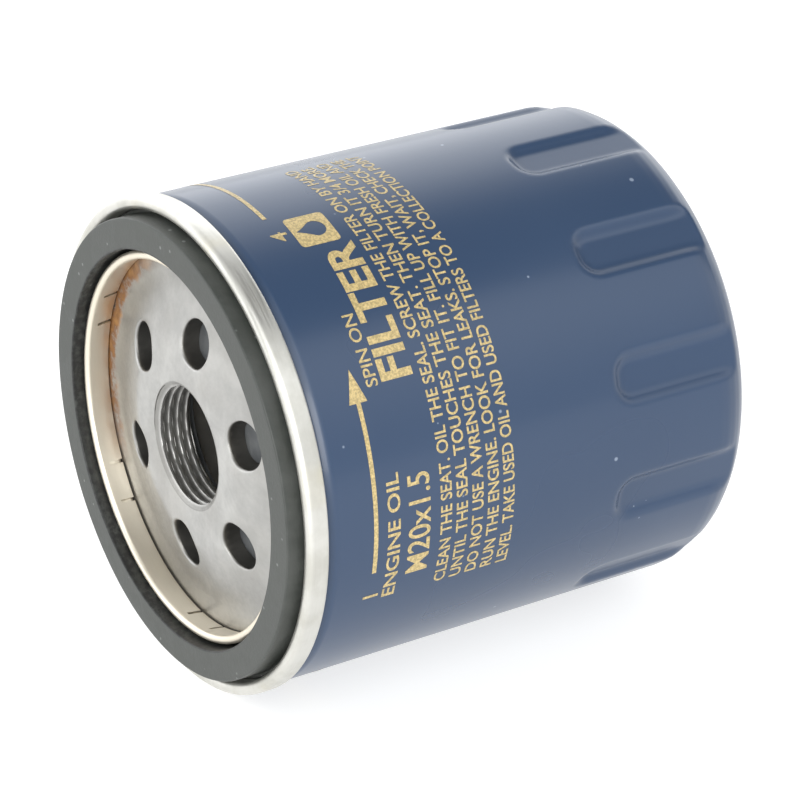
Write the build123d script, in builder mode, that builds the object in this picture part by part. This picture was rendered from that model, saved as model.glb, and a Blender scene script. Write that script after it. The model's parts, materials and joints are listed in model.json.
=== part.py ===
"""Spin-on oil filter, lying on its side.

Millimetres. The filter's axis is the Y axis, the open end faces -Y and +Z is up. The origin is
the centre of the thread's mouth, on the hub's outer face. A profile's first coordinate is the
radius from the axis and its second is the station along Y.
"""

import os
from math import cos, pi, radians, sin, tan

from build123d import *

os.makedirs("parts", exist_ok=True)

# ---- driving dimensions -------------------------------------------------------------------------
can_diameter = 76.0
overall_length = 82.7
can_sheet = 0.4
end_corner_radius = 7.5
end_land = 6.5
end_panel_depth = 0.6
neck_below_seam = 0.5
neck_rise = 1.0
hook_lap = 0.5

thread_diameter = 20.0
thread_pitch = 1.5
plate_thickness = 3.0
plate_slope = 14.0
hub_wall = 2.5
hub_length = 6.2
mouth_depth = 0.45
hub_face_radius = 15.5
inlet_count = 6
inlet_radius = 3.65
inlet_first_angle = 22.7
inlet_hub_land = 1.65

lid_sheet = 0.4
seam_overhang = 0.65
seam_height = 3.5
layer_gap = 0.03
bend_ease = 0.02
roll_ease = 0.06
channel_bend = 0.5
sealant_depth = 0.35
gasket_proud = 2.0
gasket_stand = 3.3
gasket_height = 5.4
gasket_width = 4.8
gasket_groove = 0.75
gasket_bevel = 0.35
gasket_foot = 1.1
gasket_foot_slope = 0.2
gasket_foot_bevel = 0.5
rib_gap = 0.5
rib_below_gasket = 1.6
rib_width = 1.45
rib_ease = 0.05
tab_count = 6
tab_angle = 12.5
tab_first_angle = 35.0
slit_width = 0.4

flute_count = 12
flute_first_angle = 18.3
flute_width = 6.6
flute_length = 25.7
flute_depth = 1.1
flute_end_radius = 2.6

valve_collar = 2.45
valve_lip_sheet = 1.0
valve_lip_reach = 1.6
valve_lip_edge = 0.7
valve_root_sheet = 1.4
valve_setback = 0.9
running_gap = 0.1
cap_sheet = 0.4
cap_to_plate = 3.4
oil_gap = 4.1
cap_skirt = 3.0
cap_neck = 2.8
neck_bend = 0.6
cap_bend = 1.0
potting_depth = 1.5
tube_sheet = 0.4
tube_clearance = 0.2
tube_hole_radius = 2.4
tube_hole_columns = 8
tube_hole_rows = 7
pleat_count = 48
paper_thickness = 0.5
pleat_fold = 0.5
paper_in_cap = 0.4
paper_off_tube = 0.6
clip_sheet = 0.3
clip_depth = 4.0
clip_setback = 0.5
clip_ease = 0.024

bypass_bore = 5.5
seat_flange = 3.0
seat_wall = 1.2
seat_rim = 0.6
seat_rivet = 0.4
poppet_sheet = 0.8
seal_thickness = 0.9
poppet_margin = 0.5
pilot_radius = 2.5
pilot_height = 0.5
stem_radius = 1.8
stem_tail = 2.0
stem_bevel = 0.4
cage_depth = 13.5
cage_sheet = 0.5
cage_clearance = 1.5
cage_flange_width = 2.0
cage_floor_bend = 1.0
cage_flange_bend = 0.6
cage_windows = 6
cage_window_margin = 5.0
cage_window_post = 4.0
cage_window_corner = 1.0
bypass_wire = 0.8
bypass_turns = 6
bypass_coil_inset = 1.6

spring_space = 12.9
spring_wire = 1.6
spring_turns = 3.5
spring_rise_angle = 20.0
spring_end_gap = 0.3
spring_side_gap = 0.4
dish_sheet = 0.5
dish_lip = 2.0
dish_bend = 0.6
dish_off_seat = 2.5
dish_side_room = 1.8

# ---- clearances between pieces of one body ------------------------------------------------------
seat_gap = 0.05
fit_gap = 0.1

# ---- reach of cutting shapes past what they cut -------------------------------------------------
cut_past = 1.0
flute_past_end = 10.0

# ---- basic profile of a metric thread: its depth as a share of the pitch -------------------------
thread_depth_share = 0.5413

# ---- stations and radii worked out from them ----------------------------------------------------
can_radius = can_diameter / 2
can_end = overall_length - gasket_stand
end_inside = can_end - can_sheet
end_panel_radius = can_radius - end_corner_radius - end_land

seam_radius = can_radius + seam_overhang
seam_top = gasket_proud - gasket_stand
seam_bottom = seam_top + seam_height
seam_wall = seam_radius - lid_sheet / 2
body_hook = seam_wall - (lid_sheet + can_sheet) / 2 - layer_gap
cover_hook = body_hook - (lid_sheet + can_sheet) / 2 - layer_gap
neck_wall = cover_hook - (lid_sheet + can_sheet) / 2 - layer_gap
chuck_wall = neck_wall - (lid_sheet + can_sheet) / 2 - layer_gap
neck_start = seam_bottom + neck_below_seam
neck_end = neck_start + neck_rise

gasket_floor = gasket_height - gasket_stand
gasket_outer = chuck_wall - lid_sheet / 2 - gasket_groove
gasket_inner = gasket_outer - gasket_width
rib_outer = gasket_inner - rib_gap
rib_inner = rib_outer - rib_width
rib_top = rib_below_gasket - gasket_stand
skirt_foot = rib_outer - 2 * lid_sheet - fit_gap

plate_land = gasket_floor + lid_sheet + fit_gap
plate_back = plate_land + plate_thickness
slope = tan(radians(plate_slope))
slope_end = hub_face_radius + plate_land / slope
plate_radius = neck_wall - can_sheet / 2 - fit_gap
minor_radius = thread_diameter / 2 - thread_depth_share * thread_pitch
mouth_radius = thread_diameter / 2
hub_radius = thread_diameter / 2 + hub_wall
inlet_circle = hub_radius + inlet_hub_land + inlet_radius

collar_inner = hub_radius + running_gap
collar_outer = collar_inner + valve_collar
neck_inner = collar_outer + running_gap
cap_front = plate_back + cap_to_plate
collar_end = cap_front - valve_setback
tube_inner = neck_inner + tube_clearance
tube_outer = tube_inner + tube_sheet
cap_radius = can_radius - can_sheet - oil_gap
media_outer = cap_radius - cap_sheet - fit_gap - paper_in_cap
media_inner = tube_outer + paper_off_tube
media_start = cap_front + cap_sheet + seat_gap + potting_depth
crest_half = pleat_fold + paper_thickness / 2
valley_radius = media_inner + paper_thickness
valley_half = valley_radius * sin(pi / pleat_count) - pleat_fold + paper_thickness / 2
pleat_spread = max(0, valley_half - crest_half) / (media_outer - valley_radius)
clip_half = crest_half + pleat_spread * clip_depth + clip_ease

lower_cap_back = end_inside - spring_space
lower_cap_front = lower_cap_back - cap_sheet
media_end = lower_cap_front - seat_gap - potting_depth
seat_radius = bypass_bore + seat_flange
seat_face = lower_cap_front - seat_gap - seat_rim
seal_face = seat_face - running_gap
poppet_face = seal_face - seal_thickness
poppet_under = poppet_face - poppet_sheet
cage_inner = seat_radius + cage_clearance
cage_outer = cage_inner + cage_sheet
cage_floor = lower_cap_front - cage_depth


def across(station):
    """The plane across the axis at a station; its angles run from +X towards +Z."""
    return Plane.XZ.offset(-station)


def sheet_section(path, bends):
    """A midline of corner points, rounded at each corner by the listed bend radii."""
    return FilletPolyline(*path, radius=bends)


# ---- can ----------------------------------------------------------------------------------------
def flute_planes(floor_radius):
    """One plane for each flute, tangent to the flute's floor, with X along the filter."""
    planes = []
    for number in range(flute_count):
        angle = radians(flute_first_angle + number * 360 / flute_count)
        outward = Vector(cos(angle), 0, sin(angle))
        planes.append(Plane(outward * floor_radius, x_dir=(0, 1, 0), z_dir=outward))
    return planes


def can_form(radius, end, corner, neck, mouth, grow):
    """The can's outside (grow 0) or its hollow (grow = sheet) as a solid, flutes pressed in."""
    length = flute_length + 2 * grow + flute_past_end
    start = can_end - flute_length - grow
    with BuildPart() as form:
        with BuildSketch(Plane.XY):
            with BuildLine():
                Polyline(
                    (0, mouth),
                    (neck, mouth),
                    (neck, neck_start),
                    (radius, neck_end),
                    (radius, end),
                    (end_panel_radius + end_panel_depth, end),
                    (end_panel_radius - end_panel_depth, end - end_panel_depth),
                    (0, end - end_panel_depth),
                    close=True,
                )
            face = make_face()
            outer_corner = face.vertices().filter_by(
                lambda v: abs(v.X - radius) < 1e-6 and abs(v.Y - end) < 1e-6
            )
            fillet(outer_corner, corner)
        revolve(axis=Axis.Y)
        with BuildSketch(*flute_planes(can_radius - flute_depth - grow)):
            with Locations((start + length / 2, 0)):
                RectangleRounded(length, flute_width + 2 * grow, flute_end_radius + grow)
        extrude(amount=flute_depth + grow + cut_past, mode=Mode.SUBTRACT)
    return form.part


hook_top = seam_top + lid_sheet + layer_gap + can_sheet / 2
hook_bend = (body_hook - neck_wall) / 2 - bend_ease
can_outside = can_form(can_radius, can_end, end_corner_radius, neck_wall + can_sheet / 2, 0.0, 0.0)
can_hollow = can_form(
    can_radius - can_sheet,
    end_inside,
    end_corner_radius - can_sheet,
    neck_wall - can_sheet / 2,
    -cut_past,
    can_sheet,
)

with BuildPart() as can:
    add(can_outside)
    add(can_hollow, mode=Mode.SUBTRACT)
    with BuildSketch(Plane.XY):
        with BuildLine():
            hook = sheet_section(
                [
                    (neck_wall, hook_lap),
                    (neck_wall, hook_top),
                    (body_hook, hook_top),
                    (body_hook, seam_bottom - lid_sheet - can_sheet / 2 - 3 * layer_gap),
                ],
                [hook_bend, hook_bend],
            )
            offset(hook, amount=can_sheet / 2)
        make_face()
    revolve(axis=Axis.Y)
can.part.label = "can"
export_step(can.part, "parts/can.step")

# ---- seaming lid --------------------------------------------------------------------------------
cover_bend = (seam_wall - cover_hook) / 2 - bend_ease
roll_bend = (seam_wall - chuck_wall) / 2 - roll_ease
curl_bottom = seam_bottom - lid_sheet / 2
sealant_low = hook_top + hook_bend + layer_gap
sealant_high = sealant_low + sealant_depth
cover_top = sealant_high + lid_sheet / 2 + layer_gap
lid_top = seam_top + lid_sheet / 2
floor_mid = gasket_floor + lid_sheet / 2
rib_wall = rib_outer - lid_sheet / 2
rib_bend = (rib_width - lid_sheet) / 2 - rib_ease

with BuildPart() as seaming_lid:
    with BuildSketch(Plane.XY):
        with BuildLine():
            lid_line = sheet_section(
                [
                    (cover_hook, cover_top),
                    (cover_hook, curl_bottom),
                    (seam_wall, curl_bottom),
                    (seam_wall, lid_top),
                    (chuck_wall, lid_top),
                    (chuck_wall, floor_mid),
                    (rib_wall, floor_mid),
                    (rib_wall, rib_top + lid_sheet / 2),
                    (rib_inner + lid_sheet / 2, rib_top + lid_sheet / 2),
                    (skirt_foot + lid_sheet / 2, floor_mid),
                ],
                [
                    cover_bend,
                    cover_bend,
                    roll_bend,
                    roll_bend,
                    channel_bend,
                    channel_bend,
                    rib_bend,
                    rib_bend,
                ],
            )
            offset(lid_line, amount=lid_sheet / 2)
        make_face()
    revolve(axis=Axis.Y)
    slit_depth = rib_outer - lid_sheet - rib_inner
    slit_start = rib_top + lid_sheet + rib_bend
    slit_angles = []
    for tab in range(tab_count):
        middle = tab_first_angle + tab * 360 / tab_count
        slit_angles += [middle - tab_angle / 2, middle + tab_angle / 2]
    for slit_angle in slit_angles:
        with BuildSketch(across(slit_start)):
            with PolarLocations(rib_inner, 1, start_angle=slit_angle):
                Rectangle(2 * (slit_depth - fit_gap / 2), slit_width)
        extrude(amount=-(plate_land - slit_start), mode=Mode.SUBTRACT)
seaming_lid.part.label = "seaming_lid"
export_step(seaming_lid.part, "parts/seaming_lid.step")

# ---- seam sealant -------------------------------------------------------------------------------
with BuildPart() as seam_sealant:
    with BuildSketch(across(sealant_low)):
        Circle(cover_hook + lid_sheet / 2 - layer_gap)
        Circle(cover_hook - lid_sheet / 2 + layer_gap, mode=Mode.SUBTRACT)
    extrude(amount=-(sealant_high - sealant_low))
seam_sealant.part.label = "seam_sealant"
export_step(seam_sealant.part, "parts/seam_sealant.step")

# ---- sealing gasket -----------------------------------------------------------------------------
foot_top = gasket_floor - gasket_foot
foot_inner = rib_outer + fit_gap
foot_outer = chuck_wall - lid_sheet / 2 - fit_gap
with BuildPart() as sealing_gasket:
    with BuildSketch(Plane.XY):
        with BuildLine():
            Polyline(
                (gasket_inner, -gasket_stand),
                (gasket_inner, foot_top - gasket_foot_slope),
                (foot_inner, foot_top),
                (foot_inner, gasket_floor - gasket_foot_bevel),
                (foot_inner + gasket_foot_bevel, gasket_floor),
                (foot_outer - gasket_foot_bevel, gasket_floor),
                (foot_outer, gasket_floor - gasket_foot_bevel),
                (foot_outer, foot_top),
                (gasket_outer, foot_top - gasket_foot_slope),
                (gasket_outer, -gasket_stand),
                close=True,
            )
        make_face()
    revolve(axis=Axis.Y)
    sealing_face = sealing_gasket.faces().sort_by(Axis.Y)[0]
    chamfer(sealing_face.edges(), gasket_bevel)
sealing_gasket.part.label = "sealing_gasket"
export_step(sealing_gasket.part, "parts/sealing_gasket.step")

# ---- tapping plate ------------------------------------------------------------------------------
back_shift = plate_thickness * tan(radians(plate_slope) / 2)
with BuildPart() as tapping_plate:
    with BuildSketch(Plane.XY):
        with BuildLine():
            Polyline(
                (mouth_radius, 0),
                (hub_face_radius, 0),
                (slope_end, plate_land),
                (plate_radius, plate_land),
                (plate_radius, plate_back),
                (slope_end - back_shift, plate_back),
                (hub_face_radius - back_shift, plate_thickness),
                (hub_radius, plate_thickness),
                (hub_radius, hub_length),
                (minor_radius, hub_length),
                (minor_radius, mouth_depth),
                close=True,
            )
        make_face()
    revolve(axis=Axis.Y)
    with BuildSketch(across(0)):
        with PolarLocations(inlet_circle, inlet_count, start_angle=inlet_first_angle):
            Circle(inlet_radius)
    extrude(amount=-plate_back, mode=Mode.SUBTRACT)
tapping_plate.part.label = "tapping_plate"
export_step(tapping_plate.part, "parts/tapping_plate.step")

# ---- anti drain valve ---------------------------------------------------------------------------
back_slope_start = hub_face_radius - back_shift
lip_back_slope_end = slope_end - back_shift
lip_tip = lip_back_slope_end + valve_lip_reach
lip_foot = plate_back + running_gap
disc_foot = plate_thickness + running_gap
with BuildPart() as anti_drain_valve:
    with BuildSketch(Plane.XY):
        with BuildLine():
            Polyline(
                (collar_inner, disc_foot),
                (back_slope_start, disc_foot),
                (lip_back_slope_end, lip_foot),
                (lip_tip, lip_foot),
                (lip_tip, lip_foot + valve_lip_edge),
                (lip_back_slope_end, lip_foot + valve_lip_sheet),
                (collar_outer, disc_foot + valve_root_sheet),
                (collar_outer, collar_end),
                (collar_inner, collar_end),
                close=True,
            )
        make_face()
    revolve(axis=Axis.Y)
anti_drain_valve.part.label = "anti_drain_valve"
export_step(anti_drain_valve.part, "parts/anti_drain_valve.step")

# ---- filter element -----------------------------------------------------------------------------
neck_front = cap_front - cap_neck
cap_mid = cap_front + cap_sheet / 2
with BuildPart() as upper_end_cap:
    with BuildSketch(Plane.XY):
        with BuildLine():
            cap_line = sheet_section(
                [
                    (neck_inner + cap_sheet / 2, neck_front),
                    (neck_inner + cap_sheet / 2, cap_mid),
                    (cap_radius - cap_sheet / 2, cap_mid),
                    (cap_radius - cap_sheet / 2, cap_front + cap_skirt),
                ],
                [neck_bend, cap_bend],
            )
            offset(cap_line, amount=cap_sheet / 2)
        make_face()
    revolve(axis=Axis.Y)
upper_end_cap.part.label = "upper_end_cap"
export_step(upper_end_cap.part, "parts/upper_end_cap.step")

potting_outer = cap_radius - cap_sheet - fit_gap
with BuildPart() as upper_potting:
    with BuildSketch(across(cap_front + cap_sheet + seat_gap)):
        Circle(potting_outer)
        Circle(tube_outer + seat_gap, mode=Mode.SUBTRACT)
    extrude(amount=-potting_depth)
    cap_side = upper_potting.faces().sort_by(Axis.Y)[0]
    chamfer(cap_side.edges().sort_by(SortBy.RADIUS)[-1], cap_bend)
upper_potting.part.label = "upper_potting"
export_step(upper_potting.part, "parts/upper_potting.step")


def pleat_outline(crest, valley, side):
    """Closed outline of one face of the paper: side +1 is its outer face and -1 its inner face."""
    pitch = 2 * pi / pleat_count
    half = paper_thickness / 2
    crest_angle = (pleat_fold + side * half) / crest
    valley_angle = (pleat_fold - side * half) / valley
    points = []
    for pleat in range(pleat_count):
        middle = pleat * pitch
        low = middle + pitch / 2
        for radius, angle in (
            (crest, middle - crest_angle),
            (crest, middle + crest_angle),
            (valley, low - valley_angle),
            (valley, low + valley_angle),
        ):
            points.append((radius * cos(angle), radius * sin(angle)))
    Polyline(*points, close=True)


with BuildPart() as filter_media:
    with BuildSketch(across(media_start)):
        with BuildLine():
            pleat_outline(media_outer, valley_radius, 1)
        make_face()
        with BuildLine():
            pleat_outline(media_outer - paper_thickness, media_inner, -1)
        make_face(mode=Mode.SUBTRACT)
    extrude(amount=-(media_end - media_start))
filter_media.part.label = "filter_media"
export_step(filter_media.part, "parts/filter_media.step")

with BuildPart() as media_clip:
    with BuildSketch(across(media_start + clip_setback)):
        with Locations((media_outer + seat_gap + clip_sheet - clip_depth / 2, 0)):
            Rectangle(clip_depth, 2 * (clip_half + clip_sheet))
        with Locations((media_outer + seat_gap - clip_depth / 2, 0)):
            Rectangle(clip_depth, 2 * clip_half, mode=Mode.SUBTRACT)
    extrude(amount=-(media_end - media_start - 2 * clip_setback))
media_clip.part.label = "media_clip"
export_step(media_clip.part, "parts/media_clip.step")

tube_start = cap_front + cap_sheet + seat_gap
tube_end = lower_cap_front - seat_gap
with BuildPart() as centre_tube:
    with BuildSketch(across(tube_start)):
        Circle(tube_outer)
        Circle(tube_inner, mode=Mode.SUBTRACT)
    extrude(amount=-(tube_end - tube_start))
    row_step = (media_end - media_start) / tube_hole_rows
    column_step = 360 / tube_hole_columns
    for row in range(tube_hole_rows):
        station = media_start + row_step * (row + 0.5)
        stagger = column_step / 2 * (row % 2)
        hole_planes = []
        for column in range(tube_hole_columns):
            angle = radians(column * column_step + stagger)
            outward = Vector(cos(angle), 0, sin(angle))
            hole_planes.append(Plane((0, station, 0), x_dir=(0, 1, 0), z_dir=outward))
        with BuildSketch(*hole_planes):
            Circle(tube_hole_radius)
        extrude(amount=tube_outer + cut_past, mode=Mode.SUBTRACT)
centre_tube.part.label = "centre_tube"
export_step(centre_tube.part, "parts/centre_tube.step")

with BuildPart() as lower_potting:
    with BuildSketch(across(media_end)):
        Circle(potting_outer)
        Circle(tube_outer + seat_gap, mode=Mode.SUBTRACT)
    extrude(amount=-potting_depth)
    cap_side = lower_potting.faces().sort_by(Axis.Y)[-1]
    chamfer(cap_side.edges().sort_by(SortBy.RADIUS)[-1], cap_bend)
lower_potting.part.label = "lower_potting"
export_step(lower_potting.part, "parts/lower_potting.step")

cap_hole = bypass_bore + seat_wall
lower_mid = lower_cap_front + cap_sheet / 2
with BuildPart() as lower_end_cap:
    with BuildSketch(Plane.XY):
        with BuildLine():
            lower_line = sheet_section(
                [
                    (cap_hole + cap_sheet / 2 + seat_gap, lower_mid),
                    (cap_radius - cap_sheet / 2, lower_mid),
                    (cap_radius - cap_sheet / 2, lower_cap_back - cap_skirt),
                ],
                [cap_bend],
            )
            offset(lower_line, amount=cap_sheet / 2)
        make_face()
    revolve(axis=Axis.Y)
lower_end_cap.part.label = "lower_end_cap"
export_step(lower_end_cap.part, "parts/lower_end_cap.step")

# ---- bypass valve -------------------------------------------------------------------------------
with BuildPart() as bypass_seat:
    with BuildSketch(Plane.XY):
        with BuildLine():
            Polyline(
                (bypass_bore, seat_face),
                (seat_radius, seat_face),
                (seat_radius, lower_cap_front - seat_gap),
                (cap_hole - seat_gap, lower_cap_front - seat_gap),
                (cap_hole - seat_gap, lower_cap_back + seat_rivet),
                (bypass_bore, lower_cap_back + seat_rivet),
                close=True,
            )
        make_face()
    revolve(axis=Axis.Y)
bypass_seat.part.label = "bypass_seat"
export_step(bypass_seat.part, "parts/bypass_seat.step")

guide_radius = stem_radius + running_gap
cage_flange = cage_outer + cage_flange_width
cage_mid = cage_inner + cage_sheet / 2
window_height = cage_depth - cage_window_margin
window_width = cage_inner * 2 * pi / cage_windows - cage_window_post
with BuildPart() as bypass_cage:
    with BuildSketch(Plane.XY):
        with BuildLine():
            cage_line = sheet_section(
                [
                    (guide_radius + cage_sheet / 2, cage_floor + cage_sheet / 2),
                    (cage_mid, cage_floor + cage_sheet / 2),
                    (cage_mid, lower_cap_front - seat_gap - cage_sheet / 2),
                    (cage_flange, lower_cap_front - seat_gap - cage_sheet / 2),
                ],
                [cage_floor_bend, cage_flange_bend],
            )
            offset(cage_line, amount=cage_sheet / 2)
        make_face()
    revolve(axis=Axis.Y)
    window_planes = []
    for window in range(cage_windows):
        angle = window * 2 * pi / cage_windows
        outward = Vector(cos(angle), 0, sin(angle))
        window_mid = cage_floor + cage_depth / 2
        window_planes.append(Plane((0, window_mid, 0), x_dir=(0, 1, 0), z_dir=outward))
    with BuildSketch(*window_planes):
        RectangleRounded(window_height, window_width, cage_window_corner)
    extrude(amount=cage_outer + cut_past, mode=Mode.SUBTRACT)
bypass_cage.part.label = "bypass_cage"
export_step(bypass_cage.part, "parts/bypass_cage.step")

poppet_radius = seat_radius - poppet_margin
stem_end = cage_floor - stem_tail
with BuildPart() as bypass_poppet:
    with BuildSketch(Plane.XY):
        with BuildLine():
            Polyline(
                (0, stem_end),
                (stem_radius - stem_bevel, stem_end),
                (stem_radius, stem_end + stem_bevel),
                (stem_radius, poppet_under),
                (poppet_radius, poppet_under),
                (poppet_radius, poppet_face),
                (pilot_radius, poppet_face),
                (pilot_radius, seal_face + pilot_height),
                (0, seal_face + pilot_height),
                close=True,
            )
        make_face()
    revolve(axis=Axis.Y)
bypass_poppet.part.label = "bypass_poppet"
export_step(bypass_poppet.part, "parts/bypass_poppet.step")

with BuildPart() as bypass_seal:
    with BuildSketch(across(poppet_face)):
        Circle(poppet_radius)
        Circle(pilot_radius + seat_gap, mode=Mode.SUBTRACT)
    extrude(amount=-seal_thickness)
bypass_seal.part.label = "bypass_seal"
export_step(bypass_seal.part, "parts/bypass_seal.step")

bypass_coil = poppet_radius - bypass_wire / 2 - bypass_coil_inset
bypass_foot = cage_floor + cage_sheet + bypass_wire / 2 + seat_gap
bypass_head = poppet_under - bypass_wire / 2 - seat_gap
with BuildPart() as bypass_spring:
    with BuildLine() as bypass_path:
        Helix(
            pitch=(bypass_head - bypass_foot) / bypass_turns,
            height=bypass_head - bypass_foot,
            radius=bypass_coil,
            center=(0, bypass_foot, 0),
            direction=(0, 1, 0),
        )
    with BuildSketch(bypass_path.line ^ 0):
        Circle(bypass_wire / 2)
    sweep(is_frenet=True)
bypass_spring.part.label = "bypass_spring"
export_step(bypass_spring.part, "parts/bypass_spring.step")

# ---- support spring and its dish ----------------------------------------------------------------
dish_inner = cap_hole + dish_off_seat
dish_outer = dish_inner + spring_wire + 2 * dish_sheet + dish_side_room
dish_back = lower_cap_back + seat_gap
with BuildPart() as spring_dish:
    with BuildSketch(Plane.XY):
        with BuildLine():
            dish_line = sheet_section(
                [
                    (dish_inner, dish_back + dish_sheet / 2),
                    (dish_outer, dish_back + dish_sheet / 2),
                    (dish_outer, dish_back + dish_lip),
                ],
                [dish_bend],
            )
            offset(dish_line, amount=dish_sheet / 2)
        make_face()
    revolve(axis=Axis.Y)
spring_dish.part.label = "spring_dish"
export_step(spring_dish.part, "parts/spring_dish.step")

spring_foot = dish_back + dish_sheet + spring_wire / 2 + spring_end_gap
spring_head = end_inside - end_panel_depth - spring_wire / 2 - spring_end_gap
spring_small = dish_inner + spring_wire / 2 + spring_side_gap
with BuildPart() as support_spring:
    with BuildLine() as spring_path:
        Helix(
            pitch=(spring_head - spring_foot) / spring_turns,
            height=spring_head - spring_foot,
            radius=spring_small,
            center=(0, spring_foot, 0),
            direction=(0, 1, 0),
            cone_angle=spring_rise_angle,
        )
    with BuildSketch(spring_path.line ^ 0):
        Circle(spring_wire / 2)
    sweep(is_frenet=True)
support_spring.part.label = "support_spring"
export_step(support_spring.part, "parts/support_spring.step")
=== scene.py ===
"""The looks of a spin-on oil filter lying on its side.

Lengths are millimetres in the named values and metres in the meshes. The filter's axis is the Y
axis, the open end faces -Y, and the origin is the centre of the thread's mouth. Angles run from
+X towards +Z.
"""
import json
import math
import random

import bmesh
import bpy
import numpy as np
from mathutils import Matrix, Vector
from mathutils.geometry import delaunay_2d_cdt


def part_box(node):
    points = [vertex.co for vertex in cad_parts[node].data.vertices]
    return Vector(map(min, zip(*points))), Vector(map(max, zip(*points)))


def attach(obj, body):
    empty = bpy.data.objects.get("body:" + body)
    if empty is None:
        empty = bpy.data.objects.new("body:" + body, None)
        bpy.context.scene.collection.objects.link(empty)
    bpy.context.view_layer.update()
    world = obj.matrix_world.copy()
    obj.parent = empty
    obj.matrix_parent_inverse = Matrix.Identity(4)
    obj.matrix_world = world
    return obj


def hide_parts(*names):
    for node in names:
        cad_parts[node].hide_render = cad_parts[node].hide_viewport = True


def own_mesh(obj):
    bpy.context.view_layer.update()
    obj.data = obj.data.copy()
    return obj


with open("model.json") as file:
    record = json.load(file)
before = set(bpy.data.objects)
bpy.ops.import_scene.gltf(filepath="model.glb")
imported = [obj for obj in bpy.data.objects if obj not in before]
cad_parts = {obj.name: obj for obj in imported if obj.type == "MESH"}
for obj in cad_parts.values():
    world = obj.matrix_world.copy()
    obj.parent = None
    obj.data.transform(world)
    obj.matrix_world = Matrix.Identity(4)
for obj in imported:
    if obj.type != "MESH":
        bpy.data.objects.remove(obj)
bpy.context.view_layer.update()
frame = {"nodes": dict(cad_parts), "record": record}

MM = 0.001
TURN = 2 * math.pi

# ---- sizes shared by more than one piece --------------------------------------------------------
CAN_RADIUS = 38.0
CAN_SHEET = 0.4
CAN_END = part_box("can")[1].y / MM
SEAM_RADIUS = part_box("seaming_lid")[1].x / MM
GASKET_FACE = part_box("sealing_gasket")[0].y / MM
PLATE_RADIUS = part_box("tapping_plate")[1].x / MM
HUB_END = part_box("tapping_plate")[1].y / MM
FLUTE_COUNT = 12
FLUTE_FIRST = math.radians(18.3)
FLOOR_HEIGHT = -SEAM_RADIUS * MM
INLET_CIRCLE = 17.8
INLET_RADIUS = 3.65
INLET_FIRST = math.radians(22.7)
INLET_COUNT = 6

# ---- camera and surround ------------------------------------------------------------------------
CAMERA_AZIMUTH = 58.03
CAMERA_ELEVATION = 26.06
CAMERA_DISTANCE = 513.2
CAMERA_AIM = (15.63, 28.18, 6.96)
CAMERA_LENS = 154.0
SENSOR_WIDTH = 36.0
LEFT_LIGHT = 1.85
RIGHT_LIGHT = 1.38
RIGHT_LOW_LIGHT = 0.5
GAP_LIGHT = 0.22
FRONT_LIGHT = 1.25
FLOOR_GLOW = 0.68
FLOOR_REACH = 3.0
RIGHT_WALL_FULL = math.radians(57)
RIGHT_WALL_TOP = math.radians(68)
RIGHT_WALL_BRIGHT = math.radians(50)
LEFT_WALL_TOP = math.radians(98)
LEFT_WALL_FULL = math.radians(142)
LAMP_PLACE = (0.72, -0.52, 0.26)
LAMP_AIM = (0.0, 0.04, 0.0)
LAMP_SIZE = (0.28, 0.5)
LAMP_POWER = 2.2


# ---- mesh helpers -------------------------------------------------------------------------------
POLE_RADIUS = 1e-6
MERGE_DISTANCE = 1e-7
WIDE_MERGE_DISTANCE = 2e-6


def make_piece(name, vertices, faces):
    """A mesh object at the origin from points in millimetres, merged and facing outwards."""
    mesh = bpy.data.meshes.new(name)
    mesh.from_pydata([tuple(c * MM for c in v) for v in vertices], [], faces)
    piece = bpy.data.objects.new(name, mesh)
    bpy.context.scene.collection.objects.link(piece)
    return finish_mesh(piece)


def finish_mesh(piece, merge=MERGE_DISTANCE):
    """Merges doubled points, turns the faces outwards and shades them smooth."""
    work = bmesh.new()
    work.from_mesh(piece.data)
    bmesh.ops.remove_doubles(work, verts=work.verts, dist=merge)
    bmesh.ops.recalc_face_normals(work, faces=work.faces)
    for face in work.faces:
        face.smooth = True
    work.to_mesh(piece.data)
    work.free()
    return piece


def sharpen(piece, degrees):
    """Marks edges steeper than an angle as sharp, so that flat faces stay flat."""
    piece.data.set_sharp_from_angle(angle=math.radians(degrees))


def set_material(piece, material):
    """Gives a piece one material in place of any it has."""
    piece.data.materials.clear()
    piece.data.materials.append(material)
    return piece


def round_corners(points, bends, steps=6):
    """A path of (radius, station) points with each inner corner rounded by its bend radius."""
    path = [np.array(points[0], float)]
    for before, corner, after, bend in zip(points, points[1:], points[2:], bends):
        corner = np.array(corner, float)
        to_before = np.array(before, float) - corner
        to_after = np.array(after, float) - corner
        to_before /= np.linalg.norm(to_before)
        to_after /= np.linalg.norm(to_after)
        half = math.acos(np.clip(to_before @ to_after, -1, 1)) / 2
        reach = bend / math.tan(half)
        centre_way = to_before + to_after
        centre = corner + centre_way / np.linalg.norm(centre_way) * bend / math.sin(half)
        first = corner + to_before * reach - centre
        last = corner + to_after * reach - centre
        sweep = math.pi - 2 * half
        turn = math.copysign(1, first[0] * last[1] - first[1] * last[0])
        for step in range(steps + 1):
            angle = turn * sweep * step / steps
            spun = (
                first[0] * math.cos(angle) - first[1] * math.sin(angle),
                first[0] * math.sin(angle) + first[1] * math.cos(angle),
            )
            path.append(centre + np.array(spun))
    path.append(np.array(points[-1], float))
    return path


def subdivide_path(path, longest, start=-math.inf, inner=0.0):
    """Adds points so that no step past a station and outside a radius is longer than a length."""
    result = [path[0]]
    for low, high in zip(path, path[1:]):
        if max(low[1], high[1]) <= start or max(low[0], high[0]) < inner:
            result.append(high)
            continue
        if low[1] < start:
            low = low + (high - low) * (start - low[1]) / (high[1] - low[1])
            result.append(low)
        parts = max(1, math.ceil(np.linalg.norm(high - low) / longest))
        for part in range(1, parts + 1):
            result.append(low + (high - low) * part / parts)
    return result


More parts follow.
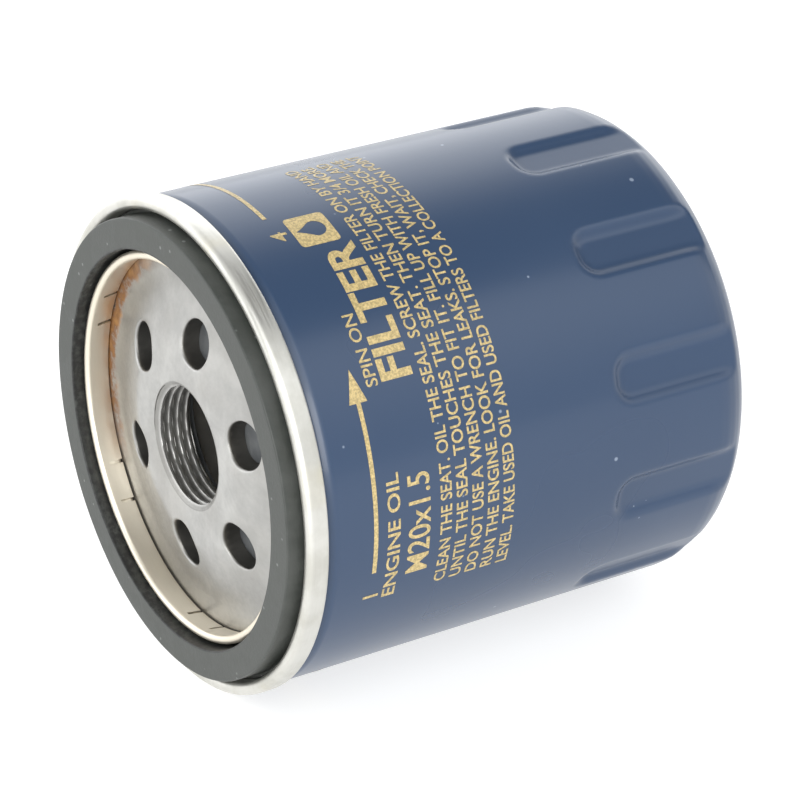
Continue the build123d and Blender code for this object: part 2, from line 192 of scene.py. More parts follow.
def offset_path(path, distance):
    """The path moved sideways by a distance, to the left of its direction when positive."""
    moved = []
    for index, point in enumerate(path):
        before = path[max(index - 1, 0)]
        after = path[min(index + 1, len(path) - 1)]
        along = after - before
        along = along / np.linalg.norm(along)
        moved.append(point + distance * np.array((-along[1], along[0])))
    return moved


def sheet_outline(path, thickness):
    """The closed outline of a sheet whose middle follows a path."""
    left = offset_path(path, thickness / 2)
    right = offset_path(path, -thickness / 2)
    return left + right[::-1]


def lathe(name, outline, segments, slits=(), slit_span=None):
    """A closed outline of (radius, station) points turned about the Y axis.

    In each slit segment the outline's points within the span are left out, and the cut is closed.
    """
    rings = []
    vertices = []
    for radius, station in outline:
        if radius < POLE_RADIUS:
            rings.append([len(vertices)] * segments)
            vertices.append((0, station, 0))
            continue
        first = len(vertices)
        rings.append([first + s for s in range(segments)])
        for s in range(segments):
            angle = TURN * s / segments
            vertices.append((radius * math.cos(angle), station, radius * math.sin(angle)))
    faces = []
    count = len(rings)
    for row in range(count):
        low = rings[row]
        high = rings[(row + 1) % count]
        in_span = slit_span and slit_span[0] <= row < slit_span[1]
        for s in range(segments):
            if in_span and s in slits:
                continue
            t = (s + 1) % segments
            unique = list(dict.fromkeys([low[s], low[t], high[t], high[s]]))
            if len(unique) > 2:
                faces.append(unique)
    for s in slits:
        t = (s + 1) % segments
        first, last = slit_span
        faces.append([rings[row][s] for row in range(first, last + 1)])
        faces.append([rings[row][t] for row in range(first, last + 1)])
        faces.append([rings[first][s], rings[first][t], rings[last][t], rings[last][s]])
    return make_piece(name, vertices, faces)


# ---- shader helpers -----------------------------------------------------------------------------
class Nodes:
    """Short calls for adding and joining shader nodes in one tree."""

    def __init__(self, tree):
        self.tree = tree

    def add(self, kind, values=None, **settings):
        node = self.tree.nodes.new(kind)
        for key, value in settings.items():
            setattr(node, key, value)
        for socket, value in (values or {}).items():
            target = node.inputs[socket]
            if isinstance(value, bpy.types.NodeSocket):
                self.tree.links.new(value, target)
            else:
                target.default_value = value
        return node

    def math(self, operation, first, second=0.0, clamp=False):
        node = self.add("ShaderNodeMath", {0: first, 1: second}, operation=operation)
        node.use_clamp = clamp
        return node.outputs[0]

    def noise(self, vector, scale, detail=3.0, roughness=0.5, stretch=None):
        if stretch:
            vector = self.add(
                "ShaderNodeMapping", {"Vector": vector, "Scale": stretch}
            ).outputs[0]
        return self.add(
            "ShaderNodeTexNoise",
            {"Vector": vector, "Scale": scale, "Detail": detail, "Roughness": roughness},
        ).outputs[0]

    def ramp(self, value, low, high, out_low=0.0, out_high=1.0):
        return self.add(
            "ShaderNodeMapRange",
            {"Value": value, 1: low, 2: high, 3: out_low, 4: out_high},
            interpolation_type="SMOOTHSTEP",
        ).outputs[0]

    def mix(self, amount, first, second):
        node = self.add("ShaderNodeMix", data_type="RGBA")
        for socket, value in ((0, amount), (6, first), (7, second)):
            if isinstance(value, bpy.types.NodeSocket):
                self.tree.links.new(value, node.inputs[socket])
            else:
                node.inputs[socket].default_value = value
        return node.outputs[2]

    def bump(self, height, strength, distance):
        values = {"Height": height, "Strength": strength, "Distance": distance}
        return self.add("ShaderNodeBump", values).outputs[0]


def colour(red, green, blue):
    return (red, green, blue, 1.0)


def new_group(name, inputs, outputs):
    """An empty shader node group with named sockets; returns its nodes, input and output node."""
    group = bpy.data.node_groups.new(name, "ShaderNodeTree")
    for socket, kind, value in inputs:
        made = group.interface.new_socket(socket, in_out="INPUT", socket_type=kind)
        if value is not None:
            made.default_value = value
    for socket, kind in outputs:
        group.interface.new_socket(socket, in_out="OUTPUT", socket_type=kind)
    nodes = Nodes(group)
    return group, nodes, nodes.add("NodeGroupInput"), nodes.add("NodeGroupOutput")


def axis_angle_group():
    """A point's radius from the filter's axis, its angle, and a seamless point round the axis."""
    group, nodes, source, result = new_group(
        "around_the_axis",
        [("Vector", "NodeSocketVector", None)],
        [
            ("Radius", "NodeSocketFloat"),
            ("Angle", "NodeSocketFloat"),
            ("Unrolled", "NodeSocketVector"),
        ],
    )
    split = nodes.add("ShaderNodeSeparateXYZ", {0: source.outputs[0]})
    squares = nodes.math(
        "ADD",
        nodes.math("MULTIPLY", split.outputs[0], split.outputs[0]),
        nodes.math("MULTIPLY", split.outputs[2], split.outputs[2]),
    )
    radius = nodes.math("SQRT", squares)
    angle = nodes.math("ARCTAN2", split.outputs[2], split.outputs[0])
    around = nodes.add(
        "ShaderNodeCombineXYZ",
        {
            0: nodes.math("COSINE", angle),
            1: nodes.math("SINE", angle),
            2: nodes.math("ADD", split.outputs[1], radius),
        },
    )
    for socket, value in (
        ("Radius", radius),
        ("Angle", angle),
        ("Unrolled", around.outputs[0]),
    ):
        nodes.tree.links.new(value, result.inputs[socket])
    return group


def specks_group():
    """Sparse small dots, as of settled dust: a mask that is 1 in a dot."""
    group, nodes, source, result = new_group(
        "specks",
        [
            ("Vector", "NodeSocketVector", None),
            ("Scale", "NodeSocketFloat", 300.0),
            ("Size", "NodeSocketFloat", 0.1),
            ("Amount", "NodeSocketFloat", 0.2),
        ],
        [("Mask", "NodeSocketFloat")],
    )
    cells = nodes.add(
        "ShaderNodeTexVoronoi",
        {"Vector": source.outputs["Vector"], "Scale": source.outputs["Scale"]},
    )
    pick = nodes.add("ShaderNodeSeparateColor", {0: cells.outputs["Color"]})
    chosen = nodes.math("LESS_THAN", pick.outputs[0], source.outputs["Amount"])
    reach = nodes.math("MULTIPLY", source.outputs["Size"], nodes.math("ADD", pick.outputs[1], 0.3))
    near = nodes.math("SUBTRACT", 1.0, nodes.math("DIVIDE", cells.outputs["Distance"], reach), True)
    dot = nodes.ramp(near, 0.0, 0.5)
    nodes.tree.links.new(nodes.math("MULTIPLY", dot, chosen), result.inputs["Mask"])
    return group


def scuffs_group():
    """Masks of fine scratches and of broad uneven patches."""
    group, nodes, source, result = new_group(
        "scuffs",
        [
            ("Vector", "NodeSocketVector", None),
            ("Fine Scale", "NodeSocketFloat", 900.0),
            ("Patch Scale", "NodeSocketFloat", 60.0),
        ],
        [("Fine", "NodeSocketFloat"), ("Patches", "NodeSocketFloat")],
    )
    fine = nodes.noise(source.outputs[0], source.outputs["Fine Scale"], 4.0, 0.6)
    patches = nodes.noise(source.outputs[0], source.outputs["Patch Scale"], 5.0, 0.62)
    nodes.tree.links.new(nodes.ramp(fine, 0.3, 0.7), result.inputs["Fine"])
    nodes.tree.links.new(nodes.ramp(patches, 0.35, 0.68), result.inputs["Patches"])
    return group


def hole_distance_group():
    """Distance from the nearest inlet hole's middle, from a radius and an angle about the axis."""
    group, nodes, source, result = new_group(
        "from_inlet_hole",
        [
            ("Radius", "NodeSocketFloat", None),
            ("Angle", "NodeSocketFloat", None),
            ("Hole Circle", "NodeSocketFloat", INLET_CIRCLE * MM),
            ("First Angle", "NodeSocketFloat", INLET_FIRST),
            ("Pitch Angle", "NodeSocketFloat", TURN / INLET_COUNT),
        ],
        [("Distance", "NodeSocketFloat")],
    )
    sizes = source.outputs
    steps = nodes.math(
        "DIVIDE", nodes.math("SUBTRACT", sizes["Angle"], sizes["First Angle"]), sizes["Pitch Angle"]
    )
    local = nodes.math(
        "MULTIPLY", nodes.math("SUBTRACT", steps, nodes.math("ROUND", steps)), sizes["Pitch Angle"]
    )
    along = nodes.math(
        "SUBTRACT",
        nodes.math("MULTIPLY", sizes["Radius"], nodes.math("COSINE", local)),
        sizes["Hole Circle"],
    )
    across = nodes.math("MULTIPLY", sizes["Radius"], nodes.math("SINE", local))
    squares = nodes.math(
        "ADD", nodes.math("MULTIPLY", along, along), nodes.math("MULTIPLY", across, across)
    )
    nodes.tree.links.new(nodes.math("SQRT", squares), result.inputs["Distance"])
    return group


AROUND = axis_angle_group()
HOLES = hole_distance_group()
SPECKS = specks_group()
SCUFFS = scuffs_group()


def use_group(nodes, group, values):
    """Adds a group node with its inputs set or joined."""
    made = nodes.add("ShaderNodeGroup", node_tree=group)
    for socket, value in values.items():
        if isinstance(value, bpy.types.NodeSocket):
            nodes.tree.links.new(value, made.inputs[socket])
        else:
            made.inputs[socket].default_value = value
    return made


def new_material(name, **fixed):
    """A material with one Principled shader whose constant values are set on its sockets."""
    material = bpy.data.materials.new(name)
    material.use_nodes = True
    shader = material.node_tree.nodes["Principled BSDF"]
    for socket, value in fixed.items():
        shader.inputs[socket.replace("_", " ")].default_value = value
    nodes = Nodes(material.node_tree)
    point = nodes.add("ShaderNodeTexCoord").outputs["Object"]
    return material, nodes, shader, point


def feed(nodes, shader, **values):
    """Joins worked-out values to the shader's sockets."""
    for socket, value in values.items():
        nodes.tree.links.new(value, shader.inputs[socket.replace("_", " ")])


# ---- materials; the radii here are in metres, like the points they are compared with ------------
SKIRT_DULL_FROM = 0.0312
SKIRT_DULL_FULL = 0.0304
SLOPE_SHADE_FROM = 0.0150
SLOPE_SHADE_FULL = 0.0262
GROOVE_FROM = 0.00925
GROOVE_FULL = 0.00962
BORE_END = 0.01015
BORE_FULL = 0.01005
INNER_SHADE_FROM = 0.03135
INNER_SHADE_FULL = 0.0311


def blue_enamel():
    """Dark blue stoved enamel, glossy, with a faint orange peel, settled dust and small chips."""
    material, nodes, shader, point = new_material(
        "blue_enamel", IOR=1.45, Coat_Roughness=0.08, Coat_Weight=0.15
    )
    cloud = nodes.noise(point, 30.0, 2.0)
    dust = use_group(
        nodes, SPECKS, {"Vector": point, "Scale": 420.0, "Size": 0.15, "Amount": 0.035}
    )
    chips = use_group(nodes, SPECKS, {"Vector": point, "Scale": 260.0, "Size": 0.1, "Amount": 0.012})
    base = nodes.mix(cloud, colour(0.026, 0.050, 0.100), colour(0.033, 0.060, 0.116))
    dusty = nodes.mix(
        nodes.math("MULTIPLY", dust.outputs[0], 0.55), base, colour(0.34, 0.40, 0.50)
    )
    chipped = nodes.mix(
        nodes.math("MULTIPLY", chips.outputs[0], 0.5), dusty, colour(0.02, 0.03, 0.05)
    )
    peel = nodes.noise(point, 620.0, 2.0)
    lumps = nodes.math("ADD", peel, nodes.math("MULTIPLY", dust.outputs[0], 1.4))
    feed(
        nodes,
        shader,
        Base_Color=chipped,
        Roughness=nodes.math("ADD", nodes.math("MULTIPLY", cloud, 0.06), 0.25),
        Normal=nodes.bump(lumps, 0.14, 0.00004),
    )
    return material


def gold_print():
    """Gold screen ink, a little thin in places so that the blue shows through."""
    material, nodes, shader, point = new_material("gold_print", IOR=1.45)
    wear = nodes.ramp(nodes.noise(point, 2600.0, 4.0, 0.7), 0.40, 0.62)
    ink = nodes.mix(wear, colour(0.36, 0.28, 0.13), colour(0.60, 0.46, 0.21))
    feed(
        nodes,
        shader,
        Base_Color=ink,
        Roughness=nodes.ramp(wear, 0.0, 1.0, 0.42, 0.32),
        Normal=nodes.bump(wear, 0.1, 0.00002),
    )
    return material


def tin_plate():
    """Bright tin plate: warm silver with fine marks round the ring and a few yellowed spots."""
    material, nodes, shader, point = new_material("tin_plate", Metallic=1.0)
    around = use_group(nodes, AROUND, {"Vector": point})
    lines = nodes.noise(around.outputs["Unrolled"], 1.0, 5.0, 0.65, (6.0, 6.0, 5200.0))
    patches = nodes.ramp(nodes.noise(point, 130.0, 4.0, 0.6), 0.38, 0.66)
    yellow = nodes.ramp(nodes.noise(point, 60.0, 3.0), 0.55, 0.75)
    base = nodes.mix(patches, colour(0.70, 0.69, 0.645), colour(0.60, 0.59, 0.54))
    warm = nodes.mix(nodes.math("MULTIPLY", yellow, 0.45), base, colour(0.74, 0.68, 0.50))
    skirt = nodes.ramp(around.outputs["Radius"], SKIRT_DULL_FROM, SKIRT_DULL_FULL)
    dull = nodes.mix(nodes.math("MULTIPLY", skirt, 0.9), warm, colour(0.86, 0.79, 0.66))
    rough = nodes.math(
        "ADD", nodes.ramp(lines, 0.35, 0.65, 0.33, 0.46), nodes.math("MULTIPLY", patches, 0.08)
    )
    normal = nodes.bump(lines, 0.14, 0.00004)
    feed(nodes, shader, Base_Color=dull, Roughness=rough, Normal=normal)
    return material


RUST_MIDDLE = math.radians(162)
RUST_REACH = math.radians(52)
RUST_FULL = math.radians(22)
RUST_INSIDE = 0.0282
RUST_OUTSIDE = 0.0296
DIRT_AND_SHADE_INSIDE = 0.0286
DIRT_AND_SHADE_OUTSIDE = 0.0294


def plate_steel():
    """Tumbled steel plate, satin and blotchy, with rust along the skirt and a dark ring at its edge;
    painted shade darkens the coned slope, the hole walls and the thread roots, and the edge ring is
    dirt and painted shade.
    """
    material, nodes, shader, point = new_material("plate_steel")
    around = use_group(nodes, AROUND, {"Vector": point})
    scuffs = use_group(nodes, SCUFFS, {"Vector": point, "Fine Scale": 1300.0, "Patch Scale": 150.0})
    base = nodes.mix(
        scuffs.outputs["Patches"], colour(0.40, 0.395, 0.38), colour(0.50, 0.495, 0.475)
    )
    haze = nodes.ramp(nodes.noise(point, 55.0, 3.0), 0.45, 0.7)
    grey = nodes.mix(nodes.math("MULTIPLY", haze, 0.35), base, colour(0.40, 0.38, 0.345))
    # painted shade: the coned slope is darkened outwards from the hub, for the shade in the recess
    # under the lid's skirt
    sunk = nodes.ramp(around.outputs["Radius"], SLOPE_SHADE_FROM, SLOPE_SHADE_FULL, 0.0, 0.26)
    grey = nodes.mix(sunk, grey, colour(0.17, 0.165, 0.155))
    wobble = nodes.noise(point, 240.0, 5.0, 0.7)
    uneven = nodes.math("ADD", around.outputs["Radius"], nodes.math("MULTIPLY", wobble, 0.0030))
    corner = nodes.ramp(uneven, RUST_INSIDE, RUST_OUTSIDE)
    turned = nodes.math("COSINE", nodes.math("SUBTRACT", around.outputs["Angle"], RUST_MIDDLE))
    arc = nodes.ramp(turned, math.cos(RUST_REACH), math.cos(RUST_FULL))
    rust = nodes.math("MULTIPLY", nodes.math("MULTIPLY", corner, arc), nodes.ramp(wobble, 0.3, 0.5))
    rust_colour = nodes.mix(
        nodes.ramp(wobble, 0.42, 0.66), colour(0.15, 0.062, 0.018), colour(0.31, 0.155, 0.05)
    )
    # dirt and painted shadow: a dark ring at the plate's outer edge, where it meets the lid's skirt
    edge_dirt_and_shade = nodes.ramp(around.outputs["Radius"], DIRT_AND_SHADE_INSIDE, DIRT_AND_SHADE_OUTSIDE, 0.0, 0.5)
    polar = {"Radius": around.outputs["Radius"], "Angle": around.outputs["Angle"]}
    # painted shade: the inlet hole walls and the thread roots in the bore are darkened, for the shade
    # inside them
    punched = use_group(nodes, HOLES, polar)
    wall_edge = (INLET_RADIUS + 0.25) * MM
    hole_wall = nodes.ramp(punched.outputs[0], wall_edge, INLET_RADIUS * MM)
    grooves = nodes.ramp(around.outputs["Radius"], GROOVE_FROM, GROOVE_FULL)
    bore = nodes.ramp(around.outputs["Radius"], BORE_END, BORE_FULL)
    painted_hole_and_thread_shade = nodes.math(
        "MAXIMUM",
        nodes.math("MULTIPLY", hole_wall, 0.85),
        nodes.math("MULTIPLY", nodes.math("MULTIPLY", grooves, bore), 0.4),
    )
    hole_and_thread_shaded = nodes.mix(painted_hole_and_thread_shade, grey, colour(0.075, 0.07, 0.06))
    dirtied_and_shaded = nodes.mix(edge_dirt_and_shade, hole_and_thread_shaded, colour(0.16, 0.14, 0.11))
    rusty = nodes.mix(rust, dirtied_and_shaded, rust_colour)
    metal = nodes.ramp(rust, 0.0, 0.7, 0.85, 0.0)
    rough = nodes.math(
        "ADD",
        nodes.ramp(scuffs.outputs["Fine"], 0.0, 1.0, 0.30, 0.42),
        nodes.math("MULTIPLY", rust, 0.4),
    )
    height = nodes.math("ADD", scuffs.outputs["Fine"], nodes.math("MULTIPLY", rust, 1.5))
    feed(
        nodes,
        shader,
        Base_Color=rusty,
        Metallic=metal,
        Roughness=rough,
        Normal=nodes.bump(height, 0.16, 0.00005),
    )
    return material


def gasket_rubber():
    """Charcoal nitrile rubber, dusty and a little scuffed, with moulding marks; painted shade darkens
    its inner wall to near black, in uneven patches.
    """
    material, nodes, shader, point = new_material("gasket_rubber", IOR=1.5)
    around = use_group(nodes, AROUND, {"Vector": point})
    scuffs = use_group(nodes, SCUFFS, {"Vector": point, "Fine Scale": 1800.0, "Patch Scale": 170.0})
    rings = nodes.noise(around.outputs["Unrolled"], 1.0, 3.0, 0.6, (9.0, 9.0, 2600.0))
    base = nodes.mix(
        scuffs.outputs["Patches"], colour(0.038, 0.042, 0.037), colour(0.060, 0.064, 0.058)
    )
    dust = use_group(
        nodes, SPECKS, {"Vector": point, "Scale": 700.0, "Size": 0.22, "Amount": 0.08}
    )
    dusty = nodes.mix(
        nodes.math("MULTIPLY", dust.outputs[0], 0.35), base, colour(0.36, 0.37, 0.36)
    )
    # painted shade: the gasket's inner wall, in the dark gap by the lid's rib, is darkened to near
    # black; the noise named torn is no torn flash, it only leaves lighter patches in this painted
    # shade
    torn = nodes.ramp(nodes.noise(point, 900.0, 5.0, 0.7), 0.36, 0.6, 0.35, 1.0)
    edge = nodes.ramp(around.outputs["Radius"], INNER_SHADE_FROM, INNER_SHADE_FULL)
    inner = nodes.math("MULTIPLY", edge, torn)
    dark = nodes.mix(inner, dusty, colour(0.010, 0.010, 0.010))
    rough = nodes.ramp(scuffs.outputs["Patches"], 0.0, 1.0, 0.42, 0.58)
    height = nodes.math("ADD", scuffs.outputs["Fine"], rings)
    feed(
        nodes,
        shader,
        Base_Color=dark,
        Roughness=rough,
        Normal=nodes.bump(height, 0.2, 0.00005),
    )
    return material


def valve_rubber():
    """Dark silicone rubber with a soft sheen."""
    material, nodes, shader, point = new_material("valve_rubber", IOR=1.45)
    cloud = nodes.ramp(nodes.noise(point, 260.0, 4.0), 0.35, 0.65)
    base = nodes.mix(cloud, colour(0.070, 0.074, 0.078), colour(0.105, 0.110, 0.112))
    feed(
        nodes,
        shader,
        Base_Color=base,
        Roughness=nodes.ramp(cloud, 0.0, 1.0, 0.36, 0.48),
        Normal=nodes.bump(nodes.noise(point, 1500.0), 0.12, 0.00004),
    )
    return material


def pressed_steel(name, tint, low, high, rough):
    """Thin pressed or drawn steel: one tint, fine draw lines along the axis and cloudy patches."""
    material, nodes, shader, point = new_material(name, Metallic=0.95)
    around = use_group(nodes, AROUND, {"Vector": point})
    lines = nodes.noise(around.outputs["Unrolled"], 1.0, 4.0, 0.6, (420.0, 420.0, 60.0))
    cloud = nodes.ramp(nodes.noise(point, 140.0, 4.0), 0.35, 0.65)
    dark = colour(*(c * low for c in tint))
    light = colour(*(c * high for c in tint))
    base = nodes.mix(cloud, dark, light)
    feed(
        nodes,
        shader,
        Base_Color=base,
        Roughness=nodes.ramp(lines, 0.3, 0.7, rough, rough + 0.14),
        Normal=nodes.bump(lines, 0.12, 0.00004),
    )
    return material


def filter_paper():
    """Resin-soaked paper: ochre fibres with a cloudy, slightly rough face."""
    material, nodes, shader, point = new_material("filter_paper", IOR=1.4)
    fibres = nodes.noise(point, 2600.0, 5.0, 0.75, (1.0, 0.35, 1.0))
    cloud = nodes.ramp(nodes.noise(point, 320.0, 4.0), 0.35, 0.65)
    base = nodes.mix(cloud, colour(0.58, 0.44, 0.22), colour(0.70, 0.56, 0.31))
    fibrous = nodes.mix(nodes.ramp(fibres, 0.4, 0.7), base, colour(0.78, 0.66, 0.42))
    feed(
        nodes,
        shader,
        Base_Color=fibrous,
        Roughness=nodes.ramp(fibres, 0.3, 0.7, 0.75, 0.92),
        Normal=nodes.bump(fibres, 0.4, 0.0001),
    )
    return material


def set_plastic(name, dark, light, rough):
    """Cast plastisol or sealant: cloudy colour with small pinholes."""
    material, nodes, shader, point = new_material(name, IOR=1.47)
    cloud = nodes.ramp(nodes.noise(point, 260.0, 4.0), 0.35, 0.65)
    holes = use_group(
        nodes, SPECKS, {"Vector": point, "Scale": 900.0, "Size": 0.2, "Amount": 0.06}
    )
    base = nodes.mix(cloud, colour(*dark), colour(*light))
    height = nodes.math("SUBTRACT", cloud, nodes.math("MULTIPLY", holes.outputs[0], 2.0))
    feed(
        nodes,
        shader,
        Base_Color=base,
        Roughness=nodes.ramp(cloud, 0.0, 1.0, rough, rough + 0.12),
        Normal=nodes.bump(height, 0.2, 0.00006),
    )
    return material


MATERIALS = {
    "blue_enamel": blue_enamel(),
    "gold_print": gold_print(),
    "tin_plate": tin_plate(),
    "plate_steel": plate_steel(),
    "gasket_rubber": gasket_rubber(),
    "valve_rubber": valve_rubber(),
    "zinc_steel": pressed_steel("zinc_steel", (0.66, 0.66, 0.64), 0.85, 1.05, 0.30),
    "clip_steel": pressed_steel("clip_steel", (0.60, 0.60, 0.60), 0.85, 1.05, 0.26),
    "tube_steel": pressed_steel("tube_steel", (0.50, 0.49, 0.46), 0.80, 1.05, 0.34),
    "spring_steel": pressed_steel("spring_steel", (0.40, 0.40, 0.42), 0.80, 1.10, 0.28),
    "filter_paper": filter_paper(),
    "plastisol": set_plastic("plastisol", (0.42, 0.16, 0.09), (0.52, 0.22, 0.13), 0.35),
    "sealant": set_plastic("sealant", (0.42, 0.37, 0.27), (0.50, 0.45, 0.34), 0.5),
}


# ---- can ----------------------------------------------------------------------------------------
CAN_SEGMENTS = 480
SEAM_HOOK = 38.02
HOOK_TOP = -0.67
HOOK_FOOT = 1.51
NECK_RADIUS = 37.16
NECK_END = 2.75
SHOULDER_END = 3.75
SHEET_BEND = 0.41
NECK_BEND = 0.8
SHOULDER_BEND = 1.4
END_CORNER = 7.5
PANEL_RADIUS = 24.0
PANEL_DEPTH = 0.6
PANEL_BEND = 1.6
BEND_STEPS = 8
OUTSIDE_STEP = 0.55
INSIDE_STEP = 1.6
FLUTE_WIDTH = 6.8
FLUTE_LENGTH = 25.7
FLUTE_DEPTH = 1.1
FLUTE_CORNER = 2.8
FLUTE_WALL = 2.4
FLUTE_LEAD = 3.0


def flute_tree():
    """Geometry nodes that press flutes, equally spaced about the Y axis, into a round shell."""
    tree = bpy.data.node_groups.new("press_flutes", "GeometryNodeTree")
    face = tree.interface
    face.new_socket("Shell", in_out="INPUT", socket_type="NodeSocketGeometry")
    for name in ("Count", "First Angle", "Shell Radius", "Depth", "Half Width", "Start", "Corner",
                 "Wall"):
        face.new_socket(name, in_out="INPUT", socket_type="NodeSocketFloat")
    face.new_socket("Material", in_out="INPUT", socket_type="NodeSocketMaterial")
    face.new_socket("Shell", in_out="OUTPUT", socket_type="NodeSocketGeometry")
    nodes = Nodes(tree)
    source = nodes.add("NodeGroupInput")
    result = nodes.add("NodeGroupOutput")
    sizes = source.outputs
    place = nodes.add("GeometryNodeInputPosition").outputs[0]
    split = nodes.add("ShaderNodeSeparateXYZ", {0: place})
    x, y, z = split.outputs
    radius = nodes.math(
        "SQRT", nodes.math("ADD", nodes.math("MULTIPLY", x, x), nodes.math("MULTIPLY", z, z))
    )
    angle = nodes.math("SUBTRACT", nodes.math("ARCTAN2", z, x), sizes["First Angle"])
    pitch = nodes.math("DIVIDE", TURN, sizes["Count"])
    steps = nodes.math("DIVIDE", angle, pitch)
    local = nodes.math(
        "MULTIPLY", nodes.math("SUBTRACT", steps, nodes.math("ROUND", steps)), pitch
    )
    across = nodes.math("ABSOLUTE", nodes.math("MULTIPLY", local, sizes["Shell Radius"]))
    straight = nodes.math("SUBTRACT", sizes["Half Width"], sizes["Corner"])
    side = nodes.math("SUBTRACT", across, straight)
    ahead = nodes.math("SUBTRACT", nodes.math("ADD", sizes["Start"], sizes["Corner"]), y)
    side_out = nodes.math("MAXIMUM", side, 0.0)
    ahead_out = nodes.math("MAXIMUM", ahead, 0.0)
    outside = nodes.math(
        "SQRT",
        nodes.math(
            "ADD",
            nodes.math("MULTIPLY", side_out, side_out),
            nodes.math("MULTIPLY", ahead_out, ahead_out),
        ),
    )
    inside = nodes.math("MINIMUM", nodes.math("MAXIMUM", side, ahead), 0.0)
    distance = nodes.math(
        "SUBTRACT", nodes.math("ADD", outside, inside), sizes["Corner"]
    )
    half_wall = nodes.math("MULTIPLY", sizes["Wall"], 0.5)
    pressed = nodes.add(
        "ShaderNodeMapRange",
        {
            "Value": distance,
            1: half_wall,
            2: nodes.math("MULTIPLY", half_wall, -1.0),
            3: 0.0,
            4: 1.0,
        },
        interpolation_type="SMOOTHERSTEP",
    ).outputs[0]
    flat = nodes.math(
        "SUBTRACT",
        sizes["Depth"],
        nodes.math(
            "MULTIPLY",
            nodes.math("SUBTRACT", nodes.math("DIVIDE", 1.0, nodes.math("COSINE", local)), 1.0),
            sizes["Shell Radius"],
        ),
    )
    skin = nodes.add("GeometryNodeInputNamedAttribute", {"Name": "skin"}, data_type="FLOAT")
    shell_gap = nodes.math(
        "SUBTRACT", nodes.math("SUBTRACT", sizes["Shell Radius"], radius), skin.outputs[0]
    )
    room = nodes.math("MAXIMUM", nodes.math("SUBTRACT", flat, shell_gap), 0.0)
    push = nodes.math("MULTIPLY", pressed, room)
    shrink = nodes.math(
        "DIVIDE", nodes.math("MULTIPLY", push, -1.0), nodes.math("MAXIMUM", radius, 0.001)
    )
    move = nodes.add(
        "ShaderNodeCombineXYZ",
        {0: nodes.math("MULTIPLY", x, shrink), 1: 0.0, 2: nodes.math("MULTIPLY", z, shrink)},
    )
    placed = nodes.add(
        "GeometryNodeSetPosition", {"Geometry": sizes["Shell"], "Offset": move.outputs[0]}
    )
    real = nodes.add("GeometryNodeRealizeInstances", {0: placed.outputs[0]})
    painted = nodes.add(
        "GeometryNodeSetMaterial", {"Geometry": real.outputs[0], "Material": sizes["Material"]}
    )
    tree.links.new(painted.outputs[0], result.inputs[0])
    return tree


def apply_tree(piece, tree, values):
    """Runs a geometry nodes tree on a piece and keeps the result as its plain mesh."""
    modifier = piece.modifiers.new(tree.name, "NODES")
    modifier.node_group = tree
    for item in tree.interface.items_tree:
        if item.in_out == "INPUT" and item.name in values:
            modifier[item.identifier] = values[item.name]
    bpy.context.view_layer.update()
    evaluated = piece.evaluated_get(bpy.context.evaluated_depsgraph_get())
    mesh = bpy.data.meshes.new_from_object(evaluated)
    piece.modifiers.clear()
    piece.data = mesh
    mesh.name = piece.name
    return piece


def make_can():
    """The drawn can: hook in the seam, neck, wall, rounded end and sunk end panel, with flutes."""
    half = CAN_SHEET / 2
    end = CAN_END - half
    wall = CAN_RADIUS - half
    path = round_corners(
        [
            (SEAM_HOOK, HOOK_FOOT),
            (SEAM_HOOK, HOOK_TOP),
            (NECK_RADIUS, HOOK_TOP),
            (NECK_RADIUS, NECK_END),
            (wall, SHOULDER_END),
            (wall, end),
            (PANEL_RADIUS + PANEL_DEPTH, end),
            (PANEL_RADIUS - PANEL_DEPTH, end - PANEL_DEPTH),
            (0.0, end - PANEL_DEPTH),
        ],
        [
            SHEET_BEND,
            SHEET_BEND,
            NECK_BEND,
            SHOULDER_BEND,
            END_CORNER - half,
            PANEL_BEND,
            PANEL_BEND,
        ],
        BEND_STEPS,
    )
    flute_start = CAN_END - FLUTE_LENGTH
    pressed_from = flute_start - FLUTE_LEAD
    pressed_radius = CAN_RADIUS - FLUTE_LEAD
    fine = subdivide_path(path, OUTSIDE_STEP, pressed_from, pressed_radius)
    coarse = subdivide_path(path, INSIDE_STEP, pressed_from, pressed_radius)
    outside = offset_path(fine, -half)
    inside = offset_path(coarse, half)
    outside[-1][0] = 0.0
    inside[-1][0] = 0.0
    piece = lathe("can_shell", outside + inside[::-1], CAN_SEGMENTS)
    mark_skin(piece)
    sized = {
        "Count": float(FLUTE_COUNT),
        "First Angle": FLUTE_FIRST,
        "Shell Radius": CAN_RADIUS * MM,
        "Depth": FLUTE_DEPTH * MM,
        "Half Width": FLUTE_WIDTH / 2 * MM,
        "Start": flute_start * MM,
        "Corner": FLUTE_CORNER * MM,
        "Wall": FLUTE_WALL * MM,
        "Material": MATERIALS["blue_enamel"],
    }
    apply_tree(piece, flute_tree(), sized)
    piece.data.attributes.remove(piece.data.attributes["skin"])
    set_material(piece, MATERIALS["blue_enamel"])
    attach(piece, "shell")
    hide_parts("can")


def mark_skin(piece):
    """Notes on each point how far it lies below the can's outside, for the flute press."""
    skin = piece.data.attributes.new("skin", "FLOAT", "POINT")
    inner_limit = CAN_RADIUS - CAN_SHEET / 2
    for index, vertex in enumerate(piece.data.vertices):
        radius = math.hypot(vertex.co.x, vertex.co.z) / MM
        station = vertex.co.y / MM
        beyond = station - (CAN_END - END_CORNER)
        from_corner = math.hypot(max(radius - (CAN_RADIUS - END_CORNER), 0), max(beyond, 0))
        deep = radius < inner_limit
        if beyond > 0:
            deep = from_corner < END_CORNER - CAN_SHEET / 2
        skin.data[index].value = CAN_SHEET * MM if deep else 0.0


